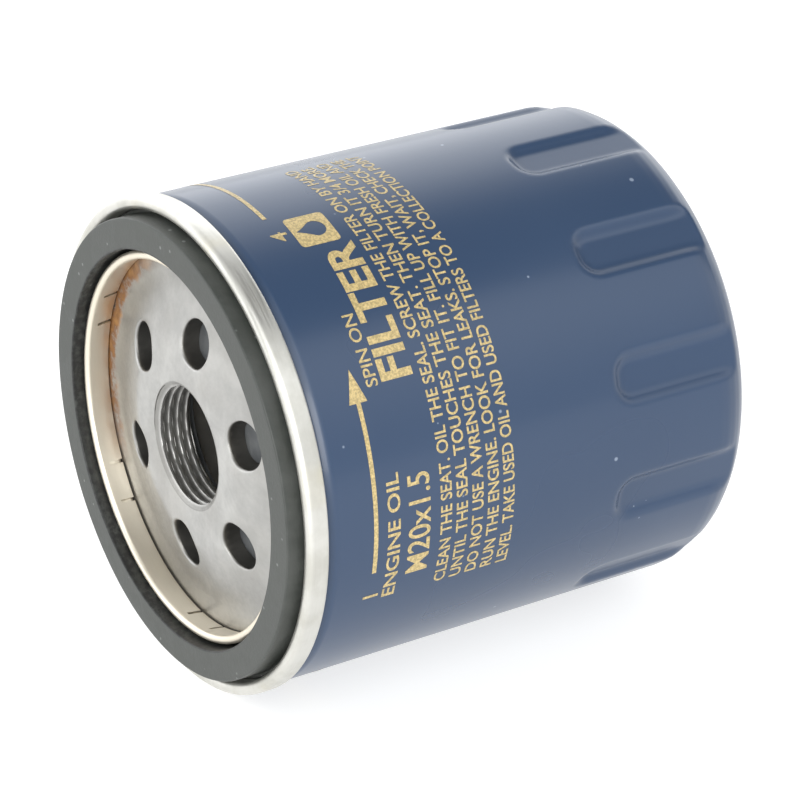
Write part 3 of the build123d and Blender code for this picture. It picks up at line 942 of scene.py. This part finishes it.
# ---- seaming lid --------------------------------------------------------------------------------
LID_SHEET = 0.4
LID_SEGMENTS = 320
LID_STEP = 0.9
LID_PATH = (
    (37.59, 0.35),
    (37.59, 2.0),
    (38.45, 2.0),
    (38.45, -1.1),
    (36.73, -1.1),
    (36.73, 2.3),
    (30.28, 2.3),
    (30.28, -1.5),
    (29.23, -1.5),
    (29.78, 2.3),
)
LID_BENDS = (0.41, 0.41, 0.8, 0.8, 0.5, 0.5, 0.47, 0.47)
LID_BEND_STEPS = 7
SKIRT_RADIUS = 30.0
TAB_COUNT = 6
TAB_FIRST = 35.0
TAB_ANGLE = 12.5
SLIT_START = -0.83
LID_SHARP = 50


def in_slit_zone(point):
    """Whether a point of the lid's path is in the part of the skirt that is cut."""
    return point[0] < SKIRT_RADIUS and point[1] > SLIT_START


def make_seaming_lid():
    """The tin-plate ring: rolled seam, gasket channel, folded rib and a skirt cut into tabs."""
    path = subdivide_path(round_corners(LID_PATH, LID_BENDS, LID_BEND_STEPS), LID_STEP)
    cut_from = [in_slit_zone(point) for point in path].index(True)
    span = (cut_from, 2 * len(path) - 1 - cut_from)
    slits = []
    for tab in range(TAB_COUNT):
        middle = TAB_FIRST + tab * 360 / TAB_COUNT
        for edge in (-TAB_ANGLE / 2, TAB_ANGLE / 2):
            slits.append(int((middle + edge) % 360 / 360 * LID_SEGMENTS))
    piece = lathe("seamed_lid", sheet_outline(path, LID_SHEET), LID_SEGMENTS, slits, span)
    sharpen(piece, LID_SHARP)
    set_material(piece, MATERIALS["tin_plate"])
    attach(piece, "shell")
    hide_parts("seaming_lid")


# ---- tapping plate ------------------------------------------------------------------------------
RIM_SEGMENTS = 256
MINOR_RADIUS = 9.188
MAJOR_RADIUS = 10.0
THREAD_PITCH = 1.5
MOUTH_RADIUS = 10.0
HUB_RADIUS = 12.5
PLATE_THICKNESS = 3.0
HUB_FLAT = 15.5
PLATE_LAND = 2.6
SLOPE_END = 25.93
SLOPE_BLEND = 1.2
PLATE_SLOPE = math.radians(14)
PUNCHED_EDGE = 0.55
EDGE_SHARES = (0.0, 0.12, 0.3, 0.5, 0.75, 1.0)
WALL_SHARES = (0.0, 0.33, 0.66, 1.0)
HOLE_SEGMENTS = 72
HOLE_MARGIN = 0.25
PLAN_STEP = 0.7
PLAN_MARGIN = 0.4
INNER_PLAN_COUNT = 180
OUTER_PLAN_COUNT = 220
OUTER_PLAN_RADIUS = 20
HUB_CHAMFER = 0.3
THREAD_ROW = 0.075
THREAD_CREST = 0.125
THREAD_FLANK = 0.625
MOUTH_TAPER = 1.8
FAR_MOUTH_LIFT = 0.1
PLATE_SHARP = 42


def plate_face_height(radius, shift=0.0):
    """Station of the plate's front face at a radius, with its two bends rounded."""
    slope = PLATE_LAND / (SLOPE_END - HUB_FLAT)

    def bend(corner):
        away = np.clip((radius - corner + SLOPE_BLEND) / (2 * SLOPE_BLEND), 0, 1)
        return np.where(
            radius > corner + SLOPE_BLEND, radius - corner, SLOPE_BLEND * away**2
        )

    return slope * (bend(HUB_FLAT - shift) - bend(SLOPE_END - shift))


def ring_points(radius, count, centre=(0.0, 0.0)):
    """Plan points evenly round a ring."""
    angles = np.arange(count) * TURN / count
    return np.column_stack(
        [centre[0] + radius * np.cos(angles), centre[1] + radius * np.sin(angles)]
    )


def inlet_centres():
    """Plan points of the middles of the inlet holes."""
    centres = []
    for number in range(INLET_COUNT):
        angle = INLET_FIRST + number * TURN / INLET_COUNT
        centres.append((INLET_CIRCLE * math.cos(angle), INLET_CIRCLE * math.sin(angle)))
    return centres


def plate_plan(inner, hole_rings):
    """Triangles of the plate's plan between an inner ring and the rim, round the inlet holes."""
    centres = inlet_centres()
    points = []
    edges = []

    def add_loop(loop):
        first = len(points)
        points.extend(map(tuple, loop))
        for index in range(len(loop)):
            edges.append((first + index, first + (index + 1) % len(loop)))

    add_loop(ring_points(inner, RIM_SEGMENTS))
    add_loop(ring_points(PLATE_RADIUS, RIM_SEGMENTS))
    for centre in centres:
        for hole_ring in hole_rings:
            add_loop(ring_points(hole_ring, HOLE_SEGMENTS, centre))
    reach = max(hole_rings) + HOLE_MARGIN
    radii = np.arange(inner + PLAN_STEP, PLATE_RADIUS - PLAN_MARGIN, PLAN_STEP)
    for number, radius in enumerate(radii):
        count = INNER_PLAN_COUNT if radius < OUTER_PLAN_RADIUS else OUTER_PLAN_COUNT
        loop = ring_points(radius, count)
        turned = TURN / count / 2 * (number % 2)
        spin = np.array(
            [[math.cos(turned), math.sin(turned)], [-math.sin(turned), math.cos(turned)]]
        )
        for point in loop @ spin:
            if all(math.dist(point, centre) > reach for centre in centres):
                points.append(tuple(point))
    made = delaunay_2d_cdt([Vector(p) for p in points], edges, [], 0, 1e-6)
    flat = np.array([tuple(v) for v in made[0]])
    faces = []
    for triangle in made[2]:
        middle = flat[list(triangle)].mean(0)
        away = np.hypot(*middle)
        in_hole = any(math.dist(middle, centre) < min(hole_rings) * 0.999 for centre in centres)
        if inner < away < PLATE_RADIUS and not in_hole:
            faces.append(tuple(triangle))
    return flat, faces


def hole_drop(flat):
    """How far the rounded punched edge has sunk at each plan point."""
    sunk = np.zeros(len(flat))
    for centre in inlet_centres():
        away = np.hypot(flat[:, 0] - centre[0], flat[:, 1] - centre[1])
        share = np.clip((INLET_RADIUS + PUNCHED_EDGE - away) / PUNCHED_EDGE, 0, 1)
        sunk = np.maximum(sunk, PUNCHED_EDGE * (1 - np.sqrt(1 - share**2)))
    return sunk


def thread_radius(angle, station):
    """Radius of the threaded bore: right-hand grooves of sixty degrees with flats."""
    phase = (station / THREAD_PITCH + angle / TURN) % 1.0
    from_root = np.abs(phase - 0.5) * 2
    depth = np.clip((from_root - THREAD_CREST) / THREAD_FLANK, 0, 1)
    grooves = MAJOR_RADIUS - (MAJOR_RADIUS - MINOR_RADIUS) * depth
    mouth = MOUTH_RADIUS - MOUTH_TAPER * station
    far_mouth = MAJOR_RADIUS + FAR_MOUTH_LIFT - (HUB_END - station)
    return np.maximum(np.maximum(grooves, mouth), far_mouth)


def make_tapping_plate():
    """The steel plate: coned front, six punched holes, hub and a cut helical thread."""
    front_rings = [INLET_RADIUS + PUNCHED_EDGE * share for share in EDGE_SHARES]
    vertices = []
    faces = []

    def add_grid(rings):
        first = len(vertices)
        count = len(rings[0])
        for ring in rings:
            vertices.extend(map(tuple, ring))
        for row in range(len(rings) - 1):
            for s in range(count):
                t = (s + 1) % count
                low = first + row * count
                faces.append((low + s, low + t, low + count + t, low + count + s))

    def add_plan(flat, plan, station):
        first = len(vertices)
        vertices.extend((x, y, z) for (x, z), y in zip(flat, station))
        faces.extend(tuple(first + i for i in face) for face in plan)

    def raised(ring, station):
        return np.column_stack([ring[:, 0], station, ring[:, 1]])

    back_shift = PLATE_THICKNESS * math.tan(PLATE_SLOPE / 2)
    flat, plan = plate_plan(MOUTH_RADIUS, front_rings)
    add_plan(flat, plan, plate_face_height(np.hypot(*flat.T)) + hole_drop(flat))
    flat, plan = plate_plan(HUB_RADIUS, [INLET_RADIUS])
    add_plan(flat, plan, plate_face_height(np.hypot(*flat.T), back_shift) + PLATE_THICKNESS)

    for centre in inlet_centres():
        ring = ring_points(INLET_RADIUS, HOLE_SEGMENTS, centre)
        top = plate_face_height(np.hypot(*ring.T)) + PUNCHED_EDGE
        bottom = plate_face_height(np.hypot(*ring.T), back_shift) + PLATE_THICKNESS
        add_grid([raised(ring, top + (bottom - top) * share) for share in WALL_SHARES])

    rim = ring_points(PLATE_RADIUS, RIM_SEGMENTS)
    front = plate_face_height(np.full(RIM_SEGMENTS, PLATE_RADIUS))
    back = plate_face_height(np.full(RIM_SEGMENTS, PLATE_RADIUS), back_shift) + PLATE_THICKNESS
    add_grid([raised(rim, front), raised(rim, back)])

    hub = ring_points(HUB_RADIUS, RIM_SEGMENTS)
    root = plate_face_height(np.full(RIM_SEGMENTS, HUB_RADIUS), back_shift) + PLATE_THICKNESS
    hub_rows = [raised(hub, root)]
    hub_rows.append(raised(hub, np.full(RIM_SEGMENTS, HUB_END - HUB_CHAMFER)))
    hub_edge = ring_points(HUB_RADIUS - HUB_CHAMFER, RIM_SEGMENTS)
    hub_rows.append(raised(hub_edge, np.full(RIM_SEGMENTS, HUB_END)))
    angles = np.arange(RIM_SEGMENTS) * TURN / RIM_SEGMENTS
    rows = int(HUB_END / THREAD_ROW)
    for row in range(rows, -1, -1):
        station = HUB_END * row / rows
        radius = thread_radius(angles, station)
        if row == 0:
            radius = np.full(RIM_SEGMENTS, MOUTH_RADIUS)
        ring = np.column_stack([radius * np.cos(angles), radius * np.sin(angles)])
        hub_rows.append(raised(ring, np.full(RIM_SEGMENTS, station)))
    add_grid(hub_rows)
    piece = make_piece("threaded_plate", vertices, faces)
    finish_mesh(piece, WIDE_MERGE_DISTANCE)
    sharpen(piece, PLATE_SHARP)
    set_material(piece, MATERIALS["plate_steel"])
    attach(piece, "shell")
    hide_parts("tapping_plate")


# ---- gasket -------------------------------------------------------------------------------------
GASKET_INNER = 30.985
GASKET_OUTER = 35.77
GASKET_MIDDLE = 33.4
FOOT_INNER = 30.56
FOOT_OUTER = 36.42
FOOT_START = 1.0
FOOT_FILLET = 0.2
GASKET_FLOOR = 2.1
GASKET_BENDS = (0.26, 0.3, 0.12, 0.4, 0.4, 0.12, 0.3, 0.2)
GASKET_BEND_STEPS = 6
GASKET_STEP = 0.7
GASKET_SEGMENTS = 480
NIB_COUNT = 26
NIB_SEED = 7
NIB_HEIGHT = 0.35
NIB_RADIUS = 31.6
FACE_DEPTH = 1.6


def gasket_nibs():
    """Place, width and size of the torn nibs along the inner edge."""
    rng = random.Random(NIB_SEED)
    return [
        (math.radians(rng.uniform(125, 235)), rng.uniform(0.004, 0.012), rng.uniform(0.10, 0.30))
        for _ in range(NIB_COUNT)
    ]


def nib_height(nibs, angle):
    """How much the nibs add up to at an angle."""
    total = 0.0
    for place, width, size in nibs:
        turned = (angle - place + math.pi) % TURN - math.pi
        total += size * math.exp(-((turned / width) ** 2))
    return total


def make_gasket():
    """The moulded ring: square section, soft edges, a wider foot and torn flash at its inner edge."""
    outline = round_corners(
        [
            (GASKET_MIDDLE, GASKET_FACE),
            (GASKET_OUTER, GASKET_FACE),
            (GASKET_OUTER, FOOT_START - FOOT_FILLET),
            (FOOT_OUTER, FOOT_START),
            (FOOT_OUTER, GASKET_FLOOR),
            (FOOT_INNER, GASKET_FLOOR),
            (FOOT_INNER, FOOT_START),
            (GASKET_INNER, FOOT_START - FOOT_FILLET),
            (GASKET_INNER, GASKET_FACE),
            (GASKET_MIDDLE, GASKET_FACE),
        ],
        GASKET_BENDS,
        GASKET_BEND_STEPS,
    )
    rows = subdivide_path(outline, GASKET_STEP)[:-1]
    piece = lathe("gasket_ring", rows, GASKET_SEGMENTS)
    nibs = gasket_nibs()
    for vertex in piece.data.vertices:
        x, y, z = (c / MM for c in vertex.co)
        radius = math.hypot(x, z)
        angle = math.atan2(z, x)
        face_share = max(0.0, 1 - (y - GASKET_FACE) / FACE_DEPTH)
        if radius < NIB_RADIUS:
            growth = 1 + NIB_HEIGHT * nib_height(nibs, angle) * face_share / radius
            vertex.co.x *= growth
            vertex.co.z *= growth
        sag = 0.03 * math.sin(3 * angle + 0.8) + 0.02 * math.sin(7 * angle)
        vertex.co.y += abs(sag) * face_share * MM
    set_material(piece, MATERIALS["gasket_rubber"])
    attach(piece, "shell")
    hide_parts("sealing_gasket")


# ---- springs ------------------------------------------------------------------------------------
COIL_STEPS_PER_TURN = 72
COIL_ROUND = 14
DEAD_TURNS = 0.75
COIL_SHARP = 60
SUPPORT_WIRE = 1.6
SUPPORT_TURNS = 3.5
SUPPORT_RADII = (10.4, 13.55)
BYPASS_WIRE = 0.8
BYPASS_TURNS = 6.0
BYPASS_RADII = (6.0, 6.0)


def coil_tree():
    """Geometry nodes for a wire coil about the Y axis, with its end turns closed."""
    tree = bpy.data.node_groups.new("wind_coil", "GeometryNodeTree")
    face = tree.interface
    face.new_socket("Seed", in_out="INPUT", socket_type="NodeSocketGeometry")
    face.new_socket("Steps", in_out="INPUT", socket_type="NodeSocketInt")
    for name in ("Turns", "Dead Turns", "Foot", "Head", "Foot Radius", "Head Radius", "Wire Radius"):
        face.new_socket(name, in_out="INPUT", socket_type="NodeSocketFloat")
    face.new_socket("Material", in_out="INPUT", socket_type="NodeSocketMaterial")
    face.new_socket("Coil", in_out="OUTPUT", socket_type="NodeSocketGeometry")
    nodes = Nodes(tree)
    sizes = nodes.add("NodeGroupInput").outputs
    result = nodes.add("NodeGroupOutput")
    line = nodes.add("GeometryNodeMeshLine", {"Count": sizes["Steps"]}, mode="OFFSET")
    index = nodes.add("GeometryNodeInputIndex").outputs[0]
    share = nodes.math("DIVIDE", index, nodes.math("SUBTRACT", sizes["Steps"], 1.0))
    turned = nodes.math("MULTIPLY", share, sizes["Turns"])
    angle = nodes.math("MULTIPLY", turned, TURN)
    dead = sizes["Dead Turns"]
    closed_rise = nodes.math(
        "MULTIPLY", nodes.math("MULTIPLY", sizes["Wire Radius"], 2.0), dead
    )
    live_turns = nodes.math("SUBTRACT", sizes["Turns"], nodes.math("MULTIPLY", dead, 2.0))
    live = nodes.math(
        "DIVIDE", nodes.math("SUBTRACT", turned, dead), live_turns, clamp=True
    )
    first = nodes.math("DIVIDE", turned, dead, clamp=True)
    last_turned = nodes.math("SUBTRACT", turned, nodes.math("ADD", dead, live_turns))
    last = nodes.math("DIVIDE", last_turned, dead, clamp=True)
    span = nodes.math("SUBTRACT", sizes["Head"], sizes["Foot"])
    open_rise = nodes.math("SUBTRACT", span, nodes.math("MULTIPLY", closed_rise, 2.0))
    height = nodes.math(
        "ADD",
        nodes.math("ADD", sizes["Foot"], nodes.math("MULTIPLY", live, open_rise)),
        nodes.math("MULTIPLY", nodes.math("ADD", first, last), closed_rise),
    )
    widening = nodes.math("SUBTRACT", sizes["Head Radius"], sizes["Foot Radius"])
    radius = nodes.math("ADD", sizes["Foot Radius"], nodes.math("MULTIPLY", live, widening))
    place = nodes.add(
        "ShaderNodeCombineXYZ",
        {
            0: nodes.math("MULTIPLY", radius, nodes.math("COSINE", angle)),
            1: height,
            2: nodes.math("MULTIPLY", radius, nodes.math("SINE", angle)),
        },
    )
    placed = nodes.add(
        "GeometryNodeSetPosition", {"Geometry": line.outputs[0], "Position": place.outputs[0]}
    )
    curve = nodes.add("GeometryNodeMeshToCurve", {"Mesh": placed.outputs[0]})
    round_wire = nodes.add("GeometryNodeCurvePrimitiveCircle", {"Resolution": COIL_ROUND})
    tree.links.new(sizes["Wire Radius"], round_wire.inputs["Radius"])
    swept = nodes.add(
        "GeometryNodeCurveToMesh",
        {"Curve": curve.outputs[0], "Profile Curve": round_wire.outputs[0], "Fill Caps": True},
    )
    real = nodes.add("GeometryNodeRealizeInstances", {0: swept.outputs[0]})
    painted = nodes.add(
        "GeometryNodeSetMaterial", {"Geometry": real.outputs[0], "Material": sizes["Material"]}
    )
    tree.links.new(painted.outputs[0], result.inputs[0])
    return tree


def make_spring(name, tree, turns, stations, radii, wire):
    """One coil spring; stations and radii are those of the wire's middle at its two ends."""
    seed = bpy.data.meshes.new(name)
    piece = bpy.data.objects.new(name, seed)
    bpy.context.scene.collection.objects.link(piece)
    sized = {
        "Steps": int(turns * COIL_STEPS_PER_TURN),
        "Turns": turns,
        "Dead Turns": DEAD_TURNS,
        "Foot": stations[0] * MM,
        "Head": stations[1] * MM,
        "Foot Radius": radii[0] * MM,
        "Head Radius": radii[1] * MM,
        "Wire Radius": wire / 2 * MM,
        "Material": MATERIALS["spring_steel"],
    }
    apply_tree(piece, tree, sized)
    finish_mesh(piece)
    sharpen(piece, COIL_SHARP)
    return set_material(piece, MATERIALS["spring_steel"])


def make_springs():
    """The support spring behind the element and the bypass valve's spring."""
    tree = coil_tree()
    wire = SUPPORT_WIRE
    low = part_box("support_spring")[0].y / MM + wire / 2
    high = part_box("support_spring")[1].y / MM - wire / 2
    support = make_spring("support_coil", tree, SUPPORT_TURNS, (low, high), SUPPORT_RADII, wire)
    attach(support, "shell")
    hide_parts("support_spring")
    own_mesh(support)
    wire = BYPASS_WIRE
    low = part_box("bypass_spring")[0].y / MM + wire / 2
    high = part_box("bypass_spring")[1].y / MM - wire / 2
    bypass = make_spring("bypass_coil", tree, BYPASS_TURNS, (low, high), BYPASS_RADII, wire)
    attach(bypass, "element")
    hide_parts("bypass_spring")
    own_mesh(bypass)


# ---- print on the can ---------------------------------------------------------------------------
INK_LIFT = 0.035
STRIP_WIDTH = 1.2
CAPITAL_SHARE = 0.70
LETTER_CURVE_STEPS = 4
BLOCK_STARTS = (0.0, 180.0)
BLOCK_EDGE = -19.5
LEGEND_EDGE = 31.5
ARROW_HEAD = 5.0
ARROW_HALF_HEAD = 1.5
ARROW_HALF_SHAFT = 0.36
SQUARE_CORNER = 0.7
SQUARE_CORNER_STEPS = 6
DROP_POINTS = 40


def wrap_on_can(piece):
    """Bends a flat drawing, X round the can in millimetres and Y towards the seam, onto the can."""
    radius = CAN_RADIUS + INK_LIFT
    for vertex in piece.data.vertices:
        around, along, _ = vertex.co
        angle = around / CAN_RADIUS
        vertex.co = (radius * math.cos(angle) * MM, -along * MM, radius * math.sin(angle) * MM)


def cut_across(work, step):
    """Cuts a flat drawing into narrow strips, so that it can bend round the can."""
    low = min(v.co.x for v in work.verts)
    high = max(v.co.x for v in work.verts)
    count = int((high - low) / step)
    for index in range(1, count + 1):
        bmesh.ops.bisect_plane(
            work,
            geom=work.verts[:] + work.edges[:] + work.faces[:],
            plane_co=(low + index * step, 0, 0),
            plane_no=(1, 0, 0),
        )


def print_piece(name, meshes):
    """Joins flat drawings into one inked piece on the can."""
    work = bmesh.new()
    for mesh in meshes:
        work.from_mesh(mesh)
    cut_across(work, STRIP_WIDTH)
    bmesh.ops.triangulate(work, faces=work.faces[:])
    joined = bpy.data.meshes.new(name)
    work.to_mesh(joined)
    work.free()
    piece = bpy.data.objects.new(name, joined)
    bpy.context.scene.collection.objects.link(piece)
    wrap_on_can(piece)
    face_outwards(piece)
    set_material(piece, MATERIALS["gold_print"])
    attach(piece, "shell")


def face_outwards(piece):
    """Turns each thin ink face away from the can's axis."""
    work = bmesh.new()
    work.from_mesh(piece.data)
    work.normal_update()
    inward = []
    for face in work.faces:
        middle = face.calc_center_median()
        if face.normal.x * middle.x + face.normal.z * middle.z < 0:
            inward.append(face)
    bmesh.ops.reverse_faces(work, faces=inward)
    work.to_mesh(piece.data)
    work.free()


def lettering(text, start, station, height, weight=0.0, stretch=1.0):
    """A flat mesh of plain capitals or digits: start angle in degrees, station of its top line."""
    curve = bpy.data.curves.new("lettering", "FONT")
    curve.body = text
    curve.size = height / CAPITAL_SHARE
    curve.offset = weight
    curve.resolution_u = LETTER_CURVE_STEPS
    holder = bpy.data.objects.new("lettering", curve)
    mesh = bpy.data.meshes.new_from_object(holder)
    left = math.radians(start) * CAN_RADIUS
    mesh.transform(
        Matrix.Translation((left, -(station + height), 0)) @ Matrix.Diagonal((stretch, 1, 1, 1))
    )
    bpy.data.objects.remove(holder)
    return mesh


def filled(outlines):
    """A flat mesh of closed outlines; one inside another is a hole in it."""
    curve = bpy.data.curves.new("outline", "CURVE")
    curve.dimensions = "2D"
    curve.fill_mode = "BOTH"
    for outline in outlines:
        spline = curve.splines.new("POLY")
        spline.points.add(len(outline) - 1)
        for point, (x, y) in zip(spline.points, outline):
            point.co = (x, y, 0, 1)
        spline.use_cyclic_u = True
    holder = bpy.data.objects.new("outline", curve)
    mesh = bpy.data.meshes.new_from_object(holder)
    bpy.data.objects.remove(holder)
    return mesh


def arrow(start_angle, end_angle, station):
    """A thin turn arrow round the can, its head at the end angle."""
    left = math.radians(start_angle) * CAN_RADIUS
    tip = math.radians(end_angle) * CAN_RADIUS
    neck = tip - ARROW_HEAD
    middle = -station
    outline = [
        (left, middle - ARROW_HALF_SHAFT),
        (neck, middle - ARROW_HALF_SHAFT),
        (neck, middle - ARROW_HALF_HEAD),
        (tip, middle),
        (neck, middle + ARROW_HALF_HEAD),
        (neck, middle + ARROW_HALF_SHAFT),
        (left, middle + ARROW_HALF_SHAFT),
    ]
    return filled([outline])


def drop_mark(centre_angle, station, half_side):
    """A filled square with softened corners and an oil drop left open in it."""
    centre = math.radians(centre_angle) * CAN_RADIUS
    flat = half_side - SQUARE_CORNER
    square = []
    for side_x, side_y, first in ((1, 1, 0), (-1, 1, 90), (-1, -1, 180), (1, -1, 270)):
        for step in range(SQUARE_CORNER_STEPS + 1):
            angle = math.radians(first + 90 * step / SQUARE_CORNER_STEPS)
            square.append(
                (
                    centre + side_x * flat + SQUARE_CORNER * math.cos(angle),
                    -station + side_y * flat + SQUARE_CORNER * math.sin(angle),
                )
            )
    size = half_side * 0.5
    drop = []
    for index in range(DROP_POINTS):
        angle = TURN * index / DROP_POINTS
        above = max(0.0, math.sin(angle))
        drop.append(
            (
                centre + size * math.cos(angle) * (1 - 0.75 * above**3),
                -station + size * (math.sin(angle) + 0.9 * above**4) - 0.35 * size,
            )
        )
    return filled([square, drop])


QUARTER_DIGITS = "1432"
DIGIT_TOP = 8.9
DIGIT_HEIGHT = 2.6
ARROW_STATION = 10.2
ARROW_START = 8.5
ARROW_END = 56.0


def turn_marks():
    """The four quarter-turn digits with an arrow after each."""
    meshes = []
    for quarter, digit in enumerate(QUARTER_DIGITS):
        angle = BLOCK_EDGE + 90 * quarter
        meshes.append(lettering(digit, angle, DIGIT_TOP, DIGIT_HEIGHT, 0.03, 1.2))
        meshes.append(arrow(angle + ARROW_START, angle + ARROW_END, ARROW_STATION))
    print_piece("print_turn_marks", meshes)


LEGEND = (
    ("ENGINE OIL", BLOCK_EDGE, 12.2, 2.1, 0.05, 1.3),
    ("M20x1.5", -14.5, 15.7, 3.7, 0.05, 0.92),
    ("SPIN ON", LEGEND_EDGE, 12.2, 1.9, 0.03, 1.08),
    ("FILTER", LEGEND_EDGE, 14.8, 5.0, 0.22, 1.09),
)
MARK_ANGLE = 72.3
MARK_STATION = 15.6
MARK_HALF_SIDE = 3.3


def word_marks():
    """The plain legend, its small heading and the oil-drop mark, on both sides of the can."""
    meshes = []
    for block in BLOCK_STARTS:
        for text, start, top, height, weight, stretch in LEGEND:
            meshes.append(lettering(text, block + start, top, height, weight, stretch))
        meshes.append(drop_mark(block + MARK_ANGLE, MARK_STATION, MARK_HALF_SIDE))
    print_piece("print_legend", meshes)


FITTING_LINES = (
    "CLEAN THE SEAT. OIL THE SEAL. SCREW THE FILTER ON BY HAND",
    "UNTIL THE SEAL TOUCHES THE SEAT. THEN TURN IT 3/4 MORE.",
    "DO NOT USE A WRENCH TO FIT IT. FILL UP WITH FRESH OIL AND",
    "RUN THE ENGINE. LOOK FOR LEAKS. STOP IT, WAIT, CHECK THE",
    "LEVEL. TAKE USED OIL AND USED FILTERS TO A COLLECTION POINT",
)


LINE_TOP = 21.2
LINE_PITCH = 2.72
LINE_HEIGHT = 1.9
LINE_WEIGHT = 0.045
LINE_SPAN = math.radians(119) * CAN_RADIUS


def fitting_lines():
    """Five rows of plain fitting hints, on both sides of the can."""
    meshes = []
    for block in BLOCK_STARTS:
        for number, line in enumerate(FITTING_LINES):
            top = LINE_TOP + LINE_PITCH * number
            mesh = lettering(line, block + BLOCK_EDGE, top, LINE_HEIGHT, LINE_WEIGHT)
            left = min(v.co.x for v in mesh.vertices)
            width = max(v.co.x for v in mesh.vertices) - left
            mesh.transform(
                Matrix.Translation((left, 0, 0))
                @ Matrix.Diagonal((LINE_SPAN / width, 1, 1, 1))
                @ Matrix.Translation((-left, 0, 0))
            )
            meshes.append(mesh)
    print_piece("print_fitting_lines", meshes)


# ---- CAD nodes that keep their own shape --------------------------------------------------------
def finish_nodes():
    """Gives each CAD node that stays its own material, from the record's slots."""
    for part in frame["record"]["subparts"]:
        node = frame["nodes"][part["node"]]
        set_material(node, MATERIALS[part["material_slot"]])


# ---- camera, lights and floor -------------------------------------------------------------------
def add_camera():
    """The camera, from the right and above the open end."""
    azimuth = math.radians(CAMERA_AZIMUTH)
    elevation = math.radians(CAMERA_ELEVATION)
    back = Vector(
        (
            math.sin(azimuth) * math.cos(elevation),
            -math.cos(azimuth) * math.cos(elevation),
            math.sin(elevation),
        )
    )
    data = bpy.data.cameras.new("camera")
    data.lens = CAMERA_LENS
    data.sensor_width = SENSOR_WIDTH
    data.clip_start = 0.01
    camera = bpy.data.objects.new("camera", data)
    camera.location = (Vector(CAMERA_AIM) + back * CAMERA_DISTANCE) * MM
    camera.rotation_euler = back.to_track_quat("Z", "Y").to_euler()
    bpy.context.scene.collection.objects.link(camera)
    bpy.context.scene.camera = camera


def add_lamp():
    """One rectangular soft lamp in metres, in front to the right, facing the filter's middle."""
    data = bpy.data.lights.new("front_right", "AREA")
    data.shape = "RECTANGLE"
    data.size, data.size_y = LAMP_SIZE
    data.energy = LAMP_POWER
    lamp = bpy.data.objects.new("front_right", data)
    lamp.location = LAMP_PLACE
    facing = Vector(LAMP_PLACE) - Vector(LAMP_AIM)
    lamp.rotation_euler = facing.to_track_quat("Z", "Y").to_euler()
    bpy.context.scene.collection.objects.link(lamp)


def add_stage():
    """A plain white floor that the seam rests on."""
    mesh = bpy.data.meshes.new("floor")
    corners = ((-1, -1), (1, -1), (1, 1), (-1, 1))
    places = [(x * FLOOR_REACH, y * FLOOR_REACH, FLOOR_HEIGHT) for x, y in corners]
    mesh.from_pydata(places, [], [(0, 1, 2, 3)])
    floor = bpy.data.objects.new("floor", mesh)
    bpy.context.scene.collection.objects.link(floor)
    material, nodes, shader, point = new_material(
        "white_floor", Roughness=0.7, Specular_IOR_Level=0.2, Emission_Strength=FLOOR_GLOW
    )
    tone = nodes.ramp(nodes.noise(point, 3.0, 2.0), 0.3, 0.7)
    white = nodes.mix(tone, colour(0.44, 0.44, 0.44), colour(0.47, 0.47, 0.47))
    glow = nodes.mix(tone, colour(1, 1, 1), colour(1, 1, 0.99))
    feed(nodes, shader, Base_Color=white, Emission_Color=glow)
    set_material(floor, material)


def add_world():
    """A long light tent: bright walls left and right, a dark gap above and a panel in front."""
    world = bpy.data.worlds.new("surround")
    world.use_nodes = True
    nodes = Nodes(world.node_tree)
    background = world.node_tree.nodes["Background"]
    way = nodes.add("ShaderNodeTexCoord").outputs["Generated"]
    split = nodes.add("ShaderNodeSeparateXYZ", {0: way})
    height = nodes.math("ARCTAN2", split.outputs[2], split.outputs[0])
    right_edge = nodes.ramp(height, RIGHT_WALL_TOP, RIGHT_WALL_FULL)
    right_rise = nodes.ramp(height, 0.0, RIGHT_WALL_BRIGHT, RIGHT_LOW_LIGHT, RIGHT_LIGHT)
    right_wall = nodes.math("ADD", nodes.math("MULTIPLY", right_edge, right_rise), GAP_LIGHT)
    left_wall = nodes.ramp(height, LEFT_WALL_TOP, LEFT_WALL_FULL, 0.0, LEFT_LIGHT)
    near_side = nodes.ramp(split.outputs[1], -0.08, -0.22, 0.0, FRONT_LIGHT)
    right_side = nodes.ramp(split.outputs[0], -0.05, 0.2)
    front_panel = nodes.math("MULTIPLY", near_side, right_side)
    tent = nodes.math("ADD", nodes.math("ADD", right_wall, left_wall), front_panel)
    nodes.tree.links.new(tent, background.inputs["Strength"])
    background.inputs["Color"].default_value = (0.97, 0.985, 1.0, 1)
    bpy.context.scene.world = world
    bpy.context.scene.view_settings.view_transform = "Standard"


add_camera()
add_world()
add_stage()
add_lamp()
finish_nodes()
make_can()
make_seaming_lid()
make_tapping_plate()
make_gasket()
make_springs()
turn_marks()
word_marks()
fitting_lines()
